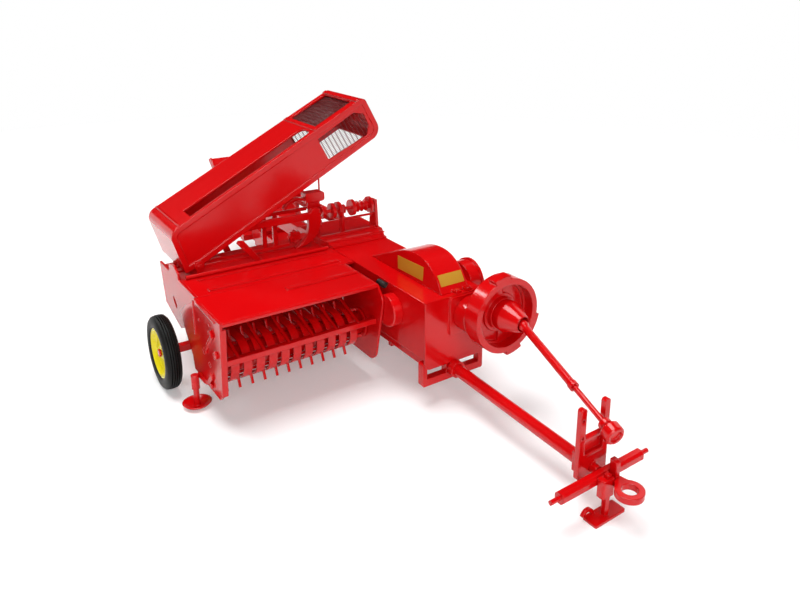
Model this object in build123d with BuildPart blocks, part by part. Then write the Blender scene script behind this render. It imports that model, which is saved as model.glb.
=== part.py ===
"""Die-cast model of a towed square baler, built as separate named pieces.

Millimetres, +Z up, +Y towards the rear, +X towards the machine's left side. The origin is on the
floor, under the middle of the whole model. The bale case runs along the left side, the pickup and
its feeder deck stick out to the right, and the drawbar reaches forward from under the bale case.
"""

import os
from math import atan2, cos, degrees, radians, sin, tan

from build123d import *

os.makedirs("parts", exist_ok=True)

# ---------------------------------------------------------------- driving dimensions
gap = 0.3  # air left between bodies that turn past each other
fit = 0.05  # radial running clearance of a shaft in its hole
skin = 1.2  # thickness of the cast sheet panels

# Wheels, on one line across the model
wheel_r = 21.0
tyre_w = 8.5
rim_r = 14.6
feeder_clear = 5.8  # air between the feeder's side and the wheels
axle_y = 16.5
stub_r = 1.5
axle_beam = 4.0

# Bale case
case_x = 27.0  # right-hand wall
case_w = 38.0
case_bottom = 28.0
case_top = 61.3
case_front = -87.5
case_rear = 150.0
case_wall = 1.4
stiffener = 1.2  # ribs on the outside of the case
stiffener_len = 120.0
press_rear = 66.0  # behind this the case opens into rails
rail_h = 5.0
rail_w = 4.0

# Feeder deck and pickup header, right of the bale case
side_x = -67.2  # right-hand side of the header
deck_z = 61.0
deck_front = -12.5
deck_step = 16.0  # where the deck drops under the hood
deck_rear = 52.5
deck_drop = 2.8
table_z = 42.0
header_front = -50.7
header_low = 16.6
header_end_x = 21.2
end_panel_low = 12.6
header_lip = 2.4  # rolled edge round the header's mouth
rib_h = 0.7  # pressed ribs of the sheet panels
rib_w = 3.4
lip_z = 38.6
lip_y = -49.3
lip_depth = 3.2
guard_pitch = 2  # wind guard strips stand at every second tine
guard_strip = 1.6
guard_strips = 6
guard_reach = 24.0
guard_rise = 7.4

# Pickup reel, turning about X
reel_y = -31.0
reel_z = 31.0
tine_r = 15.5
tine_count = 11
tine_pitch = 6.8
tine_w = 1.3
tine_inset = 5.8  # from the header's side to the first tine
tine_bars = 4
tine_bar_r = 7.6  # radius on which the tine bars lie
tine_bar = 1.6
band_r = 11.0
band_t = 0.9
band_w = 4.5

# Flywheel, on its shaft along Y
fly_x = 60.0
fly_z = 56.0
fly_r = 20.4
fly_front = -115.0
fly_rear = -105.0
fly_rim = 3.2
fly_shaft_r = 2.6
ear_r = 22.4  # three ears on the rim
ear_len = 6.0
ear_span = 26.0
boss_x = 53.5
boss_z = 50.4
boss_r = 9.8
boss_nose_r = 5.0
boss_len = 9.1
pad_x = 41.6
pad_t = 1.4

# Drive shaft from the flywheel to the hitch
joint_y = -126.0  # centre of the shaft's ball
ball_r = 3.4
shaft_drop = 17.8  # over the length of the shaft
shaft_run = 76.8
shaft_yaw = 10.6
outer_tube_r = 2.0
outer_tube_len = 48.0
inner_tube_r = 1.35
shaft_len = 70.0
bell_r = 4.7
bell_len = 5.4
slide_travel = 12.0
shaft_grip = 8.0  # overlap of the tubes that is left when pulled out

# Drawbar and hitch
bar_x = 45.6
bar_z = 16.4  # at its front end
bar_r = 3.3
bar_front = -184.5
bar_rear = -40.0
bar_slope = 1.8
yoke_w = 40.4
yoke_z = 12.8
yoke_t = 2.9
yoke_depth = 4.4
yoke_bar_h = 4.2
collar_len = 4.0
yoke_post_top = 26.5
upright_top = 48.6
upright_low = 14.6
upright_w = 3.2
upright_d = 2.6
upright_gap = 11.4
hitch_x = 44.8
hitch_y = -190.0
cross_x = 43.8
cross_y = -197.5
cross_z = 17.5
cross_len = 50.6
cross_size = 5.0
cross_pin_r = 1.1
cross_pin_len = 5.0
eye_x = 45.0
eye_y = -212.2
eye_r = 6.4
eye_hole_r = 3.6
eye_t = 2.8
foot_w = 18.7
foot_d = 7.8
foot_t = 1.3
stand_x = 43.0
stand_y = -201.5
stand_size = 2.4
stand_travel = 9.0

# Feeder hood, a long box leaning up over the bale case
hood_tilt = 28.2
hood_inset = 7.2  # from the header's side to the hood's low corner
hood_z = 61.6
hood_front = 22.5
hood_depth = 46.0
hood_len = 145.3
hood_h = 25.2
hood_sag = 1.5  # the lower edge lies this far under the low corner
hood_t = 1.2
hood_bead = 0.6  # the raised border of its faces
hood_bead_w = 3.2
screen_pitch = 7.4
screen_wire = 0.7

# Knotter drive on top of the bale case
knot_y = 38.0
knot_z = 77.6
knot_shaft_r = 1.2
knot_end_x = 69.6

# Bale chute
chute_rear = 218.5
chute_z = 80.0
chute_flare = 7.0
chute_t = 1.3

# ---------------------------------------------------------------- places worked out from them
case_x1 = case_x + case_w
case_mid = case_x + case_w / 2
rail_inset = yoke_t - (yoke_w - case_w) / 2  # the yoke posts stand against the rails
wheel_in = feeder_clear - side_x
track_face = wheel_in + tyre_w
header_z = deck_z
tine_x = side_x + tine_inset
hood_x = side_x + hood_inset
shaft_pitch = degrees(atan2(shaft_drop, shaft_run))


def export(piece, name):
    """Label a finished piece and write it as its own STEP file."""
    piece.label = name
    export_step(piece, f"parts/{name}.step")


def side_plate(outline, x0, thickness, corner=0.0, holes=()):
    """A flat plate across X, from an outline of (y, z) points, with round holes (y, z, r)."""
    with BuildPart() as plate:
        with BuildSketch(Plane.YZ.offset(x0)) as face:
            with BuildLine():
                Polyline(*outline, close=True)
            make_face()
            if corner:
                fillet(face.vertices(), corner)
            for y, z, r in holes:
                with Locations((y, z)):
                    Circle(r, mode=Mode.SUBTRACT)
        extrude(amount=thickness)
    return plate.part


def box(x, y, z):
    """A plain block between two corners, given as (low, high) pairs."""
    with BuildPart() as block:
        with Locations((x[0], y[0], z[0])):
            Box(x[1] - x[0], y[1] - y[0], z[1] - z[0], align=(Align.MIN, Align.MIN, Align.MIN))
    return block.part


def sector(centre, inner, outer, start, end):
    """The flat face between two arcs about a centre; angles in degrees."""
    with BuildSketch() as face:
        with BuildLine():
            low = CenterArc(centre, inner, start, end - start)
            high = CenterArc(centre, outer, start, end - start)
            Line(low @ 0, high @ 0)
            Line(low @ 1, high @ 1)
        make_face()
    return face.sketch


def screen(plane, across, along):
    """A flat grid of square wires centred on a plane, as one solid."""
    with BuildPart() as grid:
        with BuildSketch(plane):
            with GridLocations(screen_pitch, 0, int(across / screen_pitch), 1):
                Rectangle(screen_wire, along)
            with GridLocations(0, screen_pitch, 1, int(along / screen_pitch)):
                Rectangle(across, screen_wire)
        extrude(amount=screen_wire)
    return grid.part


def rod_x(y, z, r, x0, x1):
    """A round bar along X."""
    with BuildPart() as rod:
        with BuildSketch(Plane.YZ.offset(x0)):
            with Locations((y, z)):
                Circle(r)
        extrude(amount=x1 - x0)
    return rod.part


# ---------------------------------------------------------------- wheels and axle
hub_r = 4.2
stub_end = track_face - 2.6
bolt_r = 2.3
bolt_t = 1.1

for side, name in ((-1, "right"), (1, "left")):
    # The wheel's sections are drawn with x as the distance from the model's middle.
    wheel_plane = Plane(origin=(0, axle_y, wheel_r), x_dir=(side, 0, 0), z_dir=(0, 0, side))
    wheel_axis = Axis((0, axle_y, wheel_r), (1, 0, 0))
    mid = (wheel_in + track_face) / 2
    with BuildPart() as tyre:
        with BuildSketch(wheel_plane):
            with BuildLine():
                Polyline(
                    (wheel_in + 1.6, rim_r),
                    (wheel_in + 0.2, rim_r + 1.4),
                    (wheel_in, rim_r + 3.0),
                    (wheel_in + 0.6, wheel_r - 1.4),
                    (wheel_in + 1.8, wheel_r - 0.2),
                    (mid - 1.0, wheel_r),
                    (mid + 1.0, wheel_r),
                    (track_face - 1.8, wheel_r - 0.2),
                    (track_face - 0.6, wheel_r - 1.4),
                    (track_face, rim_r + 3.0),
                    (track_face - 0.2, rim_r + 1.4),
                    (track_face - 1.6, rim_r),
                    close=True,
                )
            make_face()
        revolve(axis=wheel_axis)
    export(tyre.part, f"tyre_{name}")

    with BuildPart() as rim:
        with BuildSketch(wheel_plane):
            with BuildLine():
                Polyline(
                    (wheel_in + 1.4, rim_r),
                    (wheel_in + 1.4, rim_r - 1.4),
                    (track_face - 4.4, rim_r - 2.6),
                    (track_face - 4.4, hub_r),
                    (wheel_in + 1.0, hub_r - 0.6),
                    (wheel_in + 1.0, stub_r + fit),
                    (stub_end, stub_r + fit),
                    (stub_end, hub_r - 0.8),
                    (track_face - 3.4, hub_r + 0.6),
                    (track_face - 3.4, rim_r - 3.2),
                    (track_face - 0.9, rim_r - 1.3),
                    (track_face - 0.9, rim_r - 0.1),
                    (track_face - 1.6, rim_r),
                    close=True,
                )
            make_face()
        revolve(axis=wheel_axis)
    export(rim.part, f"rim_{name}")

    with BuildPart() as stub:
        with BuildSketch(Plane.YZ.offset(side * (wheel_in - 1.0))):
            with Locations((axle_y, wheel_r)):
                Circle(stub_r)
        extrude(amount=side * (stub_end + gap - wheel_in + 1.0))
        with BuildSketch(Plane.YZ.offset(side * (stub_end + gap))):
            with Locations((axle_y, wheel_r)):
                RegularPolygon(bolt_r, 6)
        extrude(amount=side * bolt_t)
    export(stub.part, f"axle_stub_{name}")

beam_top = case_bottom - rail_h
with BuildPart() as axle:
    with Locations((0, axle_y, beam_top - axle_beam / 2)):
        Box(2 * (wheel_in - 1.0), axle_beam, axle_beam)
export(axle.part, "axle_beam")

# ---------------------------------------------------------------- bale case
with BuildPart() as case:
    with BuildSketch(Plane.XZ.offset(-press_rear)):
        with Locations(((case_x + case_x1) / 2, (case_bottom + case_top) / 2)):
            Rectangle(case_w, case_top - case_bottom)
            Rectangle(case_w - 2 * case_wall, case_top - case_bottom - 2 * case_wall, mode=Mode.SUBTRACT)
    extrude(amount=press_rear - case_front)
    # The feed opening from the deck's side.
    with Locations((case_x + case_wall / 2, 21, (table_z + 0.2 + deck_z - deck_drop - skin) / 2)):
        Box(case_wall * 2, 60, deck_z - deck_drop - skin - table_z - 0.4, mode=Mode.SUBTRACT)
    # Stiffeners along the left wall.
    for z in (case_bottom + 8.0, case_top - 9.0):
        with Locations((case_x1, case_rear - 2.0, z)):
            Box(stiffener, stiffener_len, 2 * stiffener, align=(Align.MIN, Align.MAX, Align.CENTER))
export(case.part, "bale_case")

# Cover plate of the knotter deck, with two pressed ridges; it stands out over the left wall.
cover_t = 1.2
cover_y = (12.5, 62.0)
cover_side = 6.6
cover_side_y = 29.0
cover_top = case_top + cover_t
with BuildPart() as cover:
    with BuildSketch(Plane.XY.offset(case_top)):
        with BuildLine():
            Polyline(
                (case_x, cover_y[0]),
                (case_x1, cover_y[0]),
                (case_x1, cover_side_y - 14.0),
                (case_x1 + cover_side, cover_side_y),
                (case_x1 + cover_side, cover_y[1]),
                (case_x, cover_y[1]),
                close=True,
            )
        make_face()
    extrude(amount=cover_t)
    for y in (cover_y[0] + 9.0, cover_y[0] + 20.3):
        with Locations((case_x, y, cover_top)):
            Box(case_w + 3.0, rib_w, rib_h, align=(Align.MIN, Align.CENTER, Align.MIN))
export(cover.part, "case_top_cover")

rail_size = 5.0
with BuildPart() as rails:
    for x in (case_x, case_x1 - case_wall):
        for low, high in (
            (case_bottom, case_bottom + 11.0),
            (case_top - 9.0, case_top),
        ):
            with Locations((x, press_rear, low)):
                Box(case_wall, case_rear - press_rear, high - low, align=(Align.MIN,) * 3)
    for y in (press_rear, case_rear - rail_size):
        for x in (case_x, case_x1 - case_wall):
            with Locations((x, y, case_bottom)):
                Box(case_wall, rail_size, case_top - case_bottom, align=(Align.MIN,) * 3)
    with Locations((case_x, press_rear, case_bottom)):
        Box(case_w, case_rear - press_rear, case_wall, align=(Align.MIN,) * 3)
    for x in (case_x, case_x1 - 8.0):
        with Locations((x, press_rear, case_top - case_wall)):
            Box(8.0, case_rear - press_rear, case_wall, align=(Align.MIN,) * 3)
export(rails.part, "bale_chamber_rails")

with BuildPart() as chassis:
    for x in (case_x + rail_inset, case_x1 - rail_inset - rail_w):
        with Locations((x, case_front, case_bottom - rail_h)):
            Box(rail_w, case_rear - case_front, rail_h, align=(Align.MIN,) * 3)
export(chassis.part, "chassis_rails")

plate_low = beam_top
with BuildPart() as front_plate:
    with BuildSketch(Plane.XZ.offset(-case_front)) as face:
        with BuildLine():
            Polyline(
                (case_x - 0.6, plate_low),
                (case_x1 + 0.6, plate_low),
                (case_x1 + 0.6, case_top + 0.5),
                (case_x - 0.6, case_top + 0.5),
                close=True,
            )
        make_face()
        fillet(face.vertices().group_by(Axis.Y)[0], 3.5)
    extrude(amount=skin)
    # The pad that the bearing boss is bolted to.
    with BuildSketch(Plane.XZ.offset(skin - case_front)) as pad:
        with Locations(((pad_x + case_x1) / 2, boss_z)):
            Rectangle(case_x1 - pad_x, 2 * boss_r + 2.0)
        fillet(pad.vertices(), 1.5)
    extrude(amount=pad_t)
export(front_plate.part, "front_plate")

# ---------------------------------------------------------------- drive housings round the bale case
guard_x = 40.0
guard_w = 18.0
guard_front = -84.0
guard_rear = -11.0
guard_top = case_top + 16.2
lug_w = 3.6
with BuildPart() as guard:
    with BuildSketch(Plane.YZ.offset(guard_x)):
        with BuildLine():
            base = Line((guard_rear, case_top), (guard_front, case_top))
            toe = Line(base @ 1, (guard_front + 4.0, guard_top - 9.6))
            brow = ThreePointArc(toe @ 1, (guard_front + 12.0, guard_top - 3.0), (guard_front + 22.0, guard_top))
            crown = ThreePointArc(brow @ 1, (guard_front + 34.0, guard_top - 0.8), (guard_front + 45.0, guard_top - 4.8))
            Line(crown @ 1, base @ 0)
        make_face()
    extrude(amount=guard_w)
    # Two lugs at the guard's foot hold it to the case.
    for x in (guard_x + guard_w / 2, guard_x + guard_w - lug_w / 2):
        with Locations((x, guard_front, case_top)):
            Box(lug_w, 2 * (guard_front - case_front), 1.6, align=(Align.CENTER, Align.CENTER, Align.MIN))
export(guard.part, "crank_guard")

drum_r = 13.0
drum_y = -66.0
drum_z = 57.0
drum_w = 8.5
drum_lip = 1.6
with BuildPart() as drum_cover:
    with BuildSketch(Plane.YZ.offset(case_x1)):
        with Locations((drum_y, drum_z)):
            Circle(drum_r - 0.8)
    extrude(amount=drum_w)
    with BuildSketch(Plane.YZ.offset(case_x1 + drum_w - drum_lip)):
        with Locations((drum_y, drum_z)):
            Circle(drum_r)
    extrude(amount=drum_lip)
    for r, proud in ((drum_r * 0.62, 0.7), (drum_r * 0.3, 1.6)):
        with BuildSketch(Plane.YZ.offset(case_x1 + drum_w)):
            with Locations((drum_y, drum_z)):
                Circle(r)
        extrude(amount=proud)
export(drum_cover.part, "side_drum_cover")

gearbox_y = -57.3
gearbox_z = 47.4
gearbox_r = 9.2
with BuildPart() as gearbox:
    with BuildSketch(Plane.YZ.offset(header_end_x + 0.3)):
        with Locations((gearbox_y, gearbox_z)):
            Circle(gearbox_r)
    extrude(amount=case_x - header_end_x - 0.3)
    fillet(gearbox.faces().sort_by(Axis.X)[0].edges(), 0.8)
export(gearbox.part, "side_gearbox")

boss_rear = case_front - skin - pad_t
boss_front = boss_rear - boss_len
with BuildPart() as boss:
    with BuildSketch(Plane.XZ.offset(-boss_rear)):
        with Locations((boss_x, boss_z)):
            Circle(boss_r)
        with Locations((fly_x, fly_z)):
            Circle(boss_nose_r)
        make_hull()
    extrude(amount=boss_len)
    fillet(boss.faces().sort_by(Axis.Y)[0].edges(), 0.8)
    with BuildSketch(Plane.XZ.offset(-boss_front)):
        with Locations((fly_x, fly_z)):
            Circle(fly_shaft_r + fit)
    extrude(amount=-boss_len, mode=Mode.SUBTRACT)
export(boss.part, "bearing_boss")

# ---------------------------------------------------------------- flywheel
fly_plane = Plane(origin=(fly_x, 0, fly_z), x_dir=(1, 0, 0), z_dir=(0, 0, 1))
fly_centre = (fly_x, fly_z)
web_front = fly_rear - 4.0
web_hub_r = 9.0
pocket = 1.6
with BuildPart() as flywheel:
    with BuildSketch(fly_plane):
        with BuildLine():
            Polyline(
                (0, boss_rear - 1.0),
                (fly_shaft_r, boss_rear - 1.0),
                (fly_shaft_r, fly_rear),
                (fly_r, fly_rear),
                (fly_r, fly_front),
                (fly_r - fly_rim, fly_front),
                (fly_r - fly_rim, web_front),
                (web_hub_r, web_front),
                (web_hub_r, web_front - 3.0),
                (0, web_front - 3.0),
                close=True,
            )
        make_face()
    revolve(axis=Axis((fly_x, 0, fly_z), (0, 1, 0)))
    # Three ears stand out from the rim's front edge.
    with BuildSketch(Plane.XZ.offset(-fly_front)):
        for turn in (-76.0, -24.0, 100.0):
            add(sector(fly_centre, fly_r - 1.0, ear_r, turn - ear_span / 2, turn + ear_span / 2))
    extrude(amount=-ear_len)
    # Two kidney pockets in the web's front.
    with BuildSketch(Plane.XZ.offset(-web_front)):
        for turn in (35.0, 215.0):
            add(sector(fly_centre, web_hub_r + 1.6, fly_r - fly_rim - 1.2, turn - 50.0, turn + 50.0))
    extrude(amount=-pocket, mode=Mode.SUBTRACT)
export(flywheel.part, "flywheel")

with BuildPart() as clutch:
    with BuildSketch(fly_plane):
        with BuildLine():
            Polyline(
                (0, web_front - 3.0),
                (web_hub_r - 0.6, web_front - 3.0),
                (web_hub_r - 0.6, fly_front - 1.4),
                (web_hub_r - 1.6, fly_front - 3.6),
                (web_hub_r - 3.4, joint_y + 2.4),
                (ball_r + 0.6, joint_y - 1.2),
                (ball_r + 0.1, joint_y + 0.6),
                (ball_r + 0.1, joint_y + 3.6),
                (0, joint_y + 3.6),
                close=True,
            )
        make_face()
    revolve(axis=Axis((fly_x, 0, fly_z), (0, 1, 0)))
export(clutch.part, "clutch_bell")

# ---------------------------------------------------------------- drive shaft
# Its own plane: x across, y forward along the shaft, through the ball's centre.
shaft_dir = Vector(-sin(radians(shaft_yaw)) * cos(radians(shaft_pitch)),
                   -cos(radians(shaft_yaw)) * cos(radians(shaft_pitch)),
                   -sin(radians(shaft_pitch)))
ball = Vector(fly_x, joint_y, fly_z)
shaft_across = shaft_dir.cross(Vector(0, 0, 1)).normalized()
shaft_plane = Plane(origin=ball, x_dir=shaft_across, z_dir=shaft_across.cross(shaft_dir))
shaft_axis = Axis(ball, shaft_dir)
inner_start = outer_tube_len - slide_travel - shaft_grip
hub_collar_r = 3.0
with BuildPart() as outer_tube:
    with BuildSketch(shaft_plane):
        with BuildLine():
            Polyline(
                (0, 0),
                (ball_r * 0.8, 0),
                (ball_r * 0.8, 2.0),
                (outer_tube_r, 4.0),
                (outer_tube_r, outer_tube_len - 3.0),
                (outer_tube_r + 0.4, outer_tube_len - 2.6),
                (outer_tube_r + 0.4, outer_tube_len),
                (inner_tube_r + fit, outer_tube_len),
                (inner_tube_r + fit, inner_start - gap),
                (0, inner_start - gap),
                close=True,
            )
        make_face()
    revolve(axis=shaft_axis)
export(outer_tube.part, "drive_shaft_outer")

with BuildPart() as inner_tube:
    with BuildSketch(shaft_plane):
        with BuildLine():
            Polyline(
                (0, inner_start),
                (inner_tube_r, inner_start),
                (inner_tube_r, shaft_len),
                (hub_collar_r, shaft_len + 0.6),
                (hub_collar_r, shaft_len + 2.8),
                (hub_collar_r - 0.6, shaft_len + 3.4),
                (bell_r - 0.5, shaft_len + 4.2),
                (bell_r, shaft_len + 4.9),
                (bell_r, shaft_len + 3.4 + bell_len),
                (bell_r - 0.8, shaft_len + 4.2 + bell_len),
                (bell_r - 1.6, shaft_len + 4.2 + bell_len),
                (bell_r - 2.2, shaft_len + 3.0 + bell_len),
                (0, shaft_len + 3.0 + bell_len),
                close=True,
            )
        make_face()
    revolve(axis=shaft_axis)
export(inner_tube.part, "drive_shaft_inner")

# ---------------------------------------------------------------- drawbar, yoke and hitch
bar_run = bar_rear - bar_front
bar_dir = (0, cos(radians(bar_slope)), sin(radians(bar_slope)))
with BuildPart() as drawbar:
    with BuildSketch(Plane.XZ.offset(-bar_front)):
        with Locations((bar_x, bar_z)):
            Circle(bar_r)
    extrude(amount=bar_run, dir=bar_dir)
export(drawbar.part, "drawbar")

with BuildPart() as yoke:
    with BuildSketch(Plane.XZ.offset(-case_front)) as loop:
        with Locations((case_mid, (yoke_z + yoke_post_top) / 2)):
            RectangleRounded(yoke_w, yoke_post_top - yoke_z, 1.2)
        with Locations((case_mid, yoke_post_top)):
            Rectangle(yoke_w - 2 * yoke_t, 2 * (yoke_post_top - yoke_z - yoke_bar_h), mode=Mode.SUBTRACT)
        with Locations((bar_x, (yoke_z + plate_low) / 2)):
            Rectangle(2 * bar_r + 2.4, plate_low - yoke_z)
    extrude(amount=-yoke_depth)
    with BuildSketch(Plane.XZ.offset(-(case_front - skin))):
        with Locations((bar_x, bar_z + (case_front - bar_front) * tan(radians(bar_slope)))):
            Circle(bar_r + 1.3)
    extrude(amount=collar_len)
    with BuildSketch(Plane.XZ.offset(-bar_front)):
        with Locations((bar_x, bar_z)):
            Circle(bar_r)
    extrude(amount=bar_run, dir=bar_dir, mode=Mode.SUBTRACT)
export(yoke.part, "drawbar_yoke")

anchor_low = case_bottom - 11.0
anchor_t = 3.0
with BuildPart() as anchor:
    with Locations(((case_x + case_x1) / 2, bar_rear - anchor_t, (anchor_low + case_bottom) / 2)):
        Box(case_w - 2 * (rail_inset + rail_w), anchor_t, case_bottom - anchor_low)
    with BuildSketch(Plane.XZ.offset(-bar_front)):
        with Locations((bar_x, bar_z)):
            Circle(bar_r)
    extrude(amount=bar_run + 10, dir=bar_dir, mode=Mode.SUBTRACT)
export(anchor.part, "drawbar_anchor")

head_depth = bar_front - (hitch_y - upright_d / 2)
channel_z = (24.4, 33.6)  # low and high edge of the channel between the uprights
channel_lip = 1.3
pin_hole_r = 0.8
with BuildPart() as head:
    for x in (hitch_x - (upright_gap + upright_w) / 2, hitch_x + (upright_gap + upright_w) / 2):
        with Locations((x, hitch_y, (upright_low + upright_top) / 2)):
            Box(upright_w, upright_d, upright_top - upright_low)
        fillet(head.edges().filter_by(Axis.Y).group_by(Axis.Z)[-1], 1.2)
    with Locations((hitch_x, bar_front, upright_low)):
        Box(upright_gap, head_depth, 9.6, align=(Align.CENTER, Align.MAX, Align.MIN))
    # A channel lies between the uprights, open to the front.
    with Locations((hitch_x, hitch_y + upright_d / 2, (channel_z[0] + channel_z[1]) / 2)):
        Box(upright_gap, 0.8, channel_z[1] - channel_z[0], align=(Align.CENTER, Align.MAX, Align.CENTER))
    for z in (channel_z[0] + channel_lip / 2, channel_z[1] - channel_lip / 2):
        with Locations((hitch_x, hitch_y, z)):
            Box(upright_gap, upright_d, channel_lip)
    with BuildSketch(Plane.XZ.offset(-(hitch_y - upright_d))):
        for z in (34.4, 43.0):
            with Locations((hitch_x - (upright_gap + upright_w) / 2, z)):
                Circle(pin_hole_r)
    extrude(amount=-2 * upright_d, mode=Mode.SUBTRACT)
export(head.part, "hitch_head")

head_face = hitch_y - upright_d / 2
pivot_pin_r = 2.3
with BuildPart() as cross:
    with Locations((cross_x, cross_y, cross_z)):
        Box(cross_len, cross_size, cross_size)
        chamfer(cross.edges().filter_by(Axis.X), 1.2)
    with BuildSketch(Plane.YZ.offset(cross_x - cross_len / 2 - cross_pin_len)):
        with Locations((cross_y, cross_z)):
            Circle(cross_pin_r)
    extrude(amount=cross_len + 2 * cross_pin_len)
    # A round pivot joins it to the hitch head.
    with BuildSketch(Plane.XZ.offset(-head_face)):
        with Locations((hitch_x, cross_z)):
            Circle(pivot_pin_r)
    extrude(amount=head_face - cross_y - cross_size / 2)
export(cross.part, "hitch_cross_bar")

cross_front = cross_y - cross_size / 2
lug_x = 47.2
lug_t = 2.6
lug_y = -203.6
lug_low = 15.4
lug_top = 26.6
with BuildPart() as eye:
    with BuildSketch(Plane.YZ.offset(lug_x - lug_t / 2)) as lug:
        with BuildLine():
            Polyline((cross_front, lug_low), (lug_y, lug_low), (lug_y, lug_top), (cross_front, lug_top), close=True)
        make_face()
        fillet(lug.vertices().sort_by_distance((lug_y, lug_top, 0))[0], 2.0)
    extrude(amount=lug_t)
    with BuildSketch(Plane.XY.offset(cross_z - eye_t / 2)):
        with Locations((eye_x, eye_y)):
            Circle(eye_r)
        with BuildLine():
            Polyline(
                (lug_x - lug_t / 2 - 2.0, cross_front - 4.6),
                (lug_x + lug_t / 2, lug_y + 0.5),
                (eye_x + eye_r - 1.2, eye_y + 1.0),
                (eye_x - eye_r + 1.2, eye_y + 2.0),
                close=True,
            )
        make_face()
        with Locations((eye_x, eye_y)):
            Circle(eye_hole_r, mode=Mode.SUBTRACT)
    extrude(amount=eye_t)
export(eye.part, "tow_eye")

# ---------------------------------------------------------------- stand
sleeve_wall = 0.9
sleeve_h = 8.6
sleeve_pad = 2.2  # the sleeve's thicker side
sleeve_out = stand_size + 2 * (fit + sleeve_wall)
sleeve_y = cross_front - sleeve_out / 2
sleeve_low = foot_t + stand_travel + 1.2  # the foot still clears it when the stand is up
post_x = stand_x - 0.6
with BuildPart() as sleeve:
    with Locations((post_x - sleeve_pad / 2, sleeve_y, sleeve_low + sleeve_h / 2)):
        Box(sleeve_out + sleeve_pad, sleeve_out, sleeve_h)
        fillet(sleeve.edges().filter_by(Axis.Z).group_by(Axis.X)[0], 1.0)
    with Locations((post_x, sleeve_y, sleeve_low + sleeve_h / 2)):
        Box(stand_size + 2 * fit, stand_size + 2 * fit, 2 * sleeve_h, mode=Mode.SUBTRACT)
export(sleeve.part, "stand_sleeve")

foot_x0 = stand_x - foot_w / 2
hook_w = 1.5
with BuildPart() as stand:
    with Locations((stand_x, stand_y, 0)):
        Box(foot_w, foot_d, foot_t, align=(Align.CENTER, Align.CENTER, Align.MIN))
        fillet(stand.edges().filter_by(Axis.Z), 0.8)
    with Locations((post_x, sleeve_y, 0)):
        Box(stand_size, stand_size, sleeve_low + sleeve_h + 1.6, align=(Align.CENTER, Align.CENTER, Align.MIN))
    # The hooked handle rises from the foot plate's rear corner and curls down at its end.
    with BuildSketch(Plane.XZ.offset(-(stand_y + foot_d / 2 - hook_w))):
        with BuildLine():
            rise = Line((foot_x0 + 5.2, 0.8), (foot_x0 + 4.4, 2.6))
            ThreePointArc(rise @ 1, (foot_x0 + 1.6, 4.3), (foot_x0 - 1.0, 2.2))
        trace(line_width=hook_w)
    extrude(amount=-hook_w)
export(stand.part, "parking_stand")

# ---------------------------------------------------------------- pickup header and feeder
header_outline = (
    (header_front - 1.3, header_z + 0.8),
    (header_front + 3.3, header_low + 3.4),
    (header_front + 7.2, header_low),
    (-4.0, header_low),
    (-2.0, header_low + 7.4),
    (14.0, table_z),
    (13.3, table_z + 2.3),
    (2.2, table_z + 10.4),
    (-9.7, table_z + 15.6),
    (deck_front, header_z),
)
reel_bore = stub_r + fit
flange_w = 3.0
flange_top = header_z - header_lip - 0.4
with BuildPart() as right_panel:
    add(side_plate(header_outline, side_x, skin, holes=((reel_y, reel_z, reel_bore),)))
    # The front edge is folded inwards, and the top edge carries a bead.
    with BuildSketch(Plane.YZ.offset(side_x)):
        with BuildLine():
            Polyline(
                (header_front - 1.0, flange_top),
                header_outline[1],
                (header_outline[1][0] + skin, header_outline[1][1]),
                (header_front - 1.0 + skin, flange_top),
                close=True,
            )
        make_face()
    extrude(amount=flange_w)
    with BuildSketch(Plane.YZ.offset(side_x - 0.5)):
        with BuildLine():
            Line((header_front + 6.0, header_z - 1.2), (deck_front - 5.0, header_z - 0.6))
        trace(line_width=1.2)
    extrude(amount=0.5)
    with Locations((side_x, deck_front + 1.0, header_z - 11.0)):
        Box(0.5, 1.2, 19.0, align=(Align.MAX, Align.CENTER, Align.CENTER))
export(right_panel.part, "header_side_panel")

# The lift lever on the header's side, with its catch ring and a bolt.
lever_t = 1.2
with BuildPart() as lever:
    with BuildSketch(Plane.YZ.offset(side_x - lever_t)):
        with BuildLine():
            Polyline((-27.5, 37.8), (-31.0, 41.4), (-40.2, 50.6), (-38.6, 52.6), (-36.4, 51.6))
        trace(line_width=1.8)
        with Locations((-27.5, 37.8), (-43.6, 41.9)):
            Circle(2.0)
        with Locations((-33.1, header_low + 3.6)):
            Circle(1.5)
    extrude(amount=lever_t)
export(lever.part, "header_lever")

with BuildPart() as left_panel:
    with BuildSketch(Plane.YZ.offset(header_end_x - skin)) as face:
        with BuildLine():
            Polyline(
                (header_front, header_z),
                (header_front - 6.4, header_z - 7.5),
                (header_front + 3.2, end_panel_low),
                (-18.0, end_panel_low),
                (-12.0, 32.0),
                (deck_front, header_z),
                close=True,
            )
        make_face()
        fillet(face.vertices().sort_by_distance((header_front - 6.4, header_z - 7.5, 0))[0], 6.0)
        fillet(face.vertices().sort_by_distance((header_front + 3.2, end_panel_low, 0))[0], 8.0)
        with Locations((reel_y, reel_z)):
            Circle(reel_bore, mode=Mode.SUBTRACT)
    extrude(amount=skin)
export(left_panel.part, "header_end_panel")

inner_x = side_x + skin
end_x = header_end_x - skin
with BuildPart() as top:
    with Locations((inner_x, header_front, header_z - skin)):
        Box(end_x - inner_x, deck_front - header_front, skin, align=(Align.MIN,) * 3)
    # The rolled lip of the mouth, and one pressed rib across the left part.
    with BuildSketch(Plane.YZ.offset(inner_x)):
        with Locations((header_front, header_z - skin / 2)):
            RectangleRounded(header_lip, header_lip, 0.9)
    extrude(amount=end_x - inner_x)
    with Locations((end_x, -28.8, header_z)):
        Box(43.0, rib_w, rib_h, align=(Align.MAX, Align.CENTER, Align.MIN))
export(top.part, "header_top")

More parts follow.
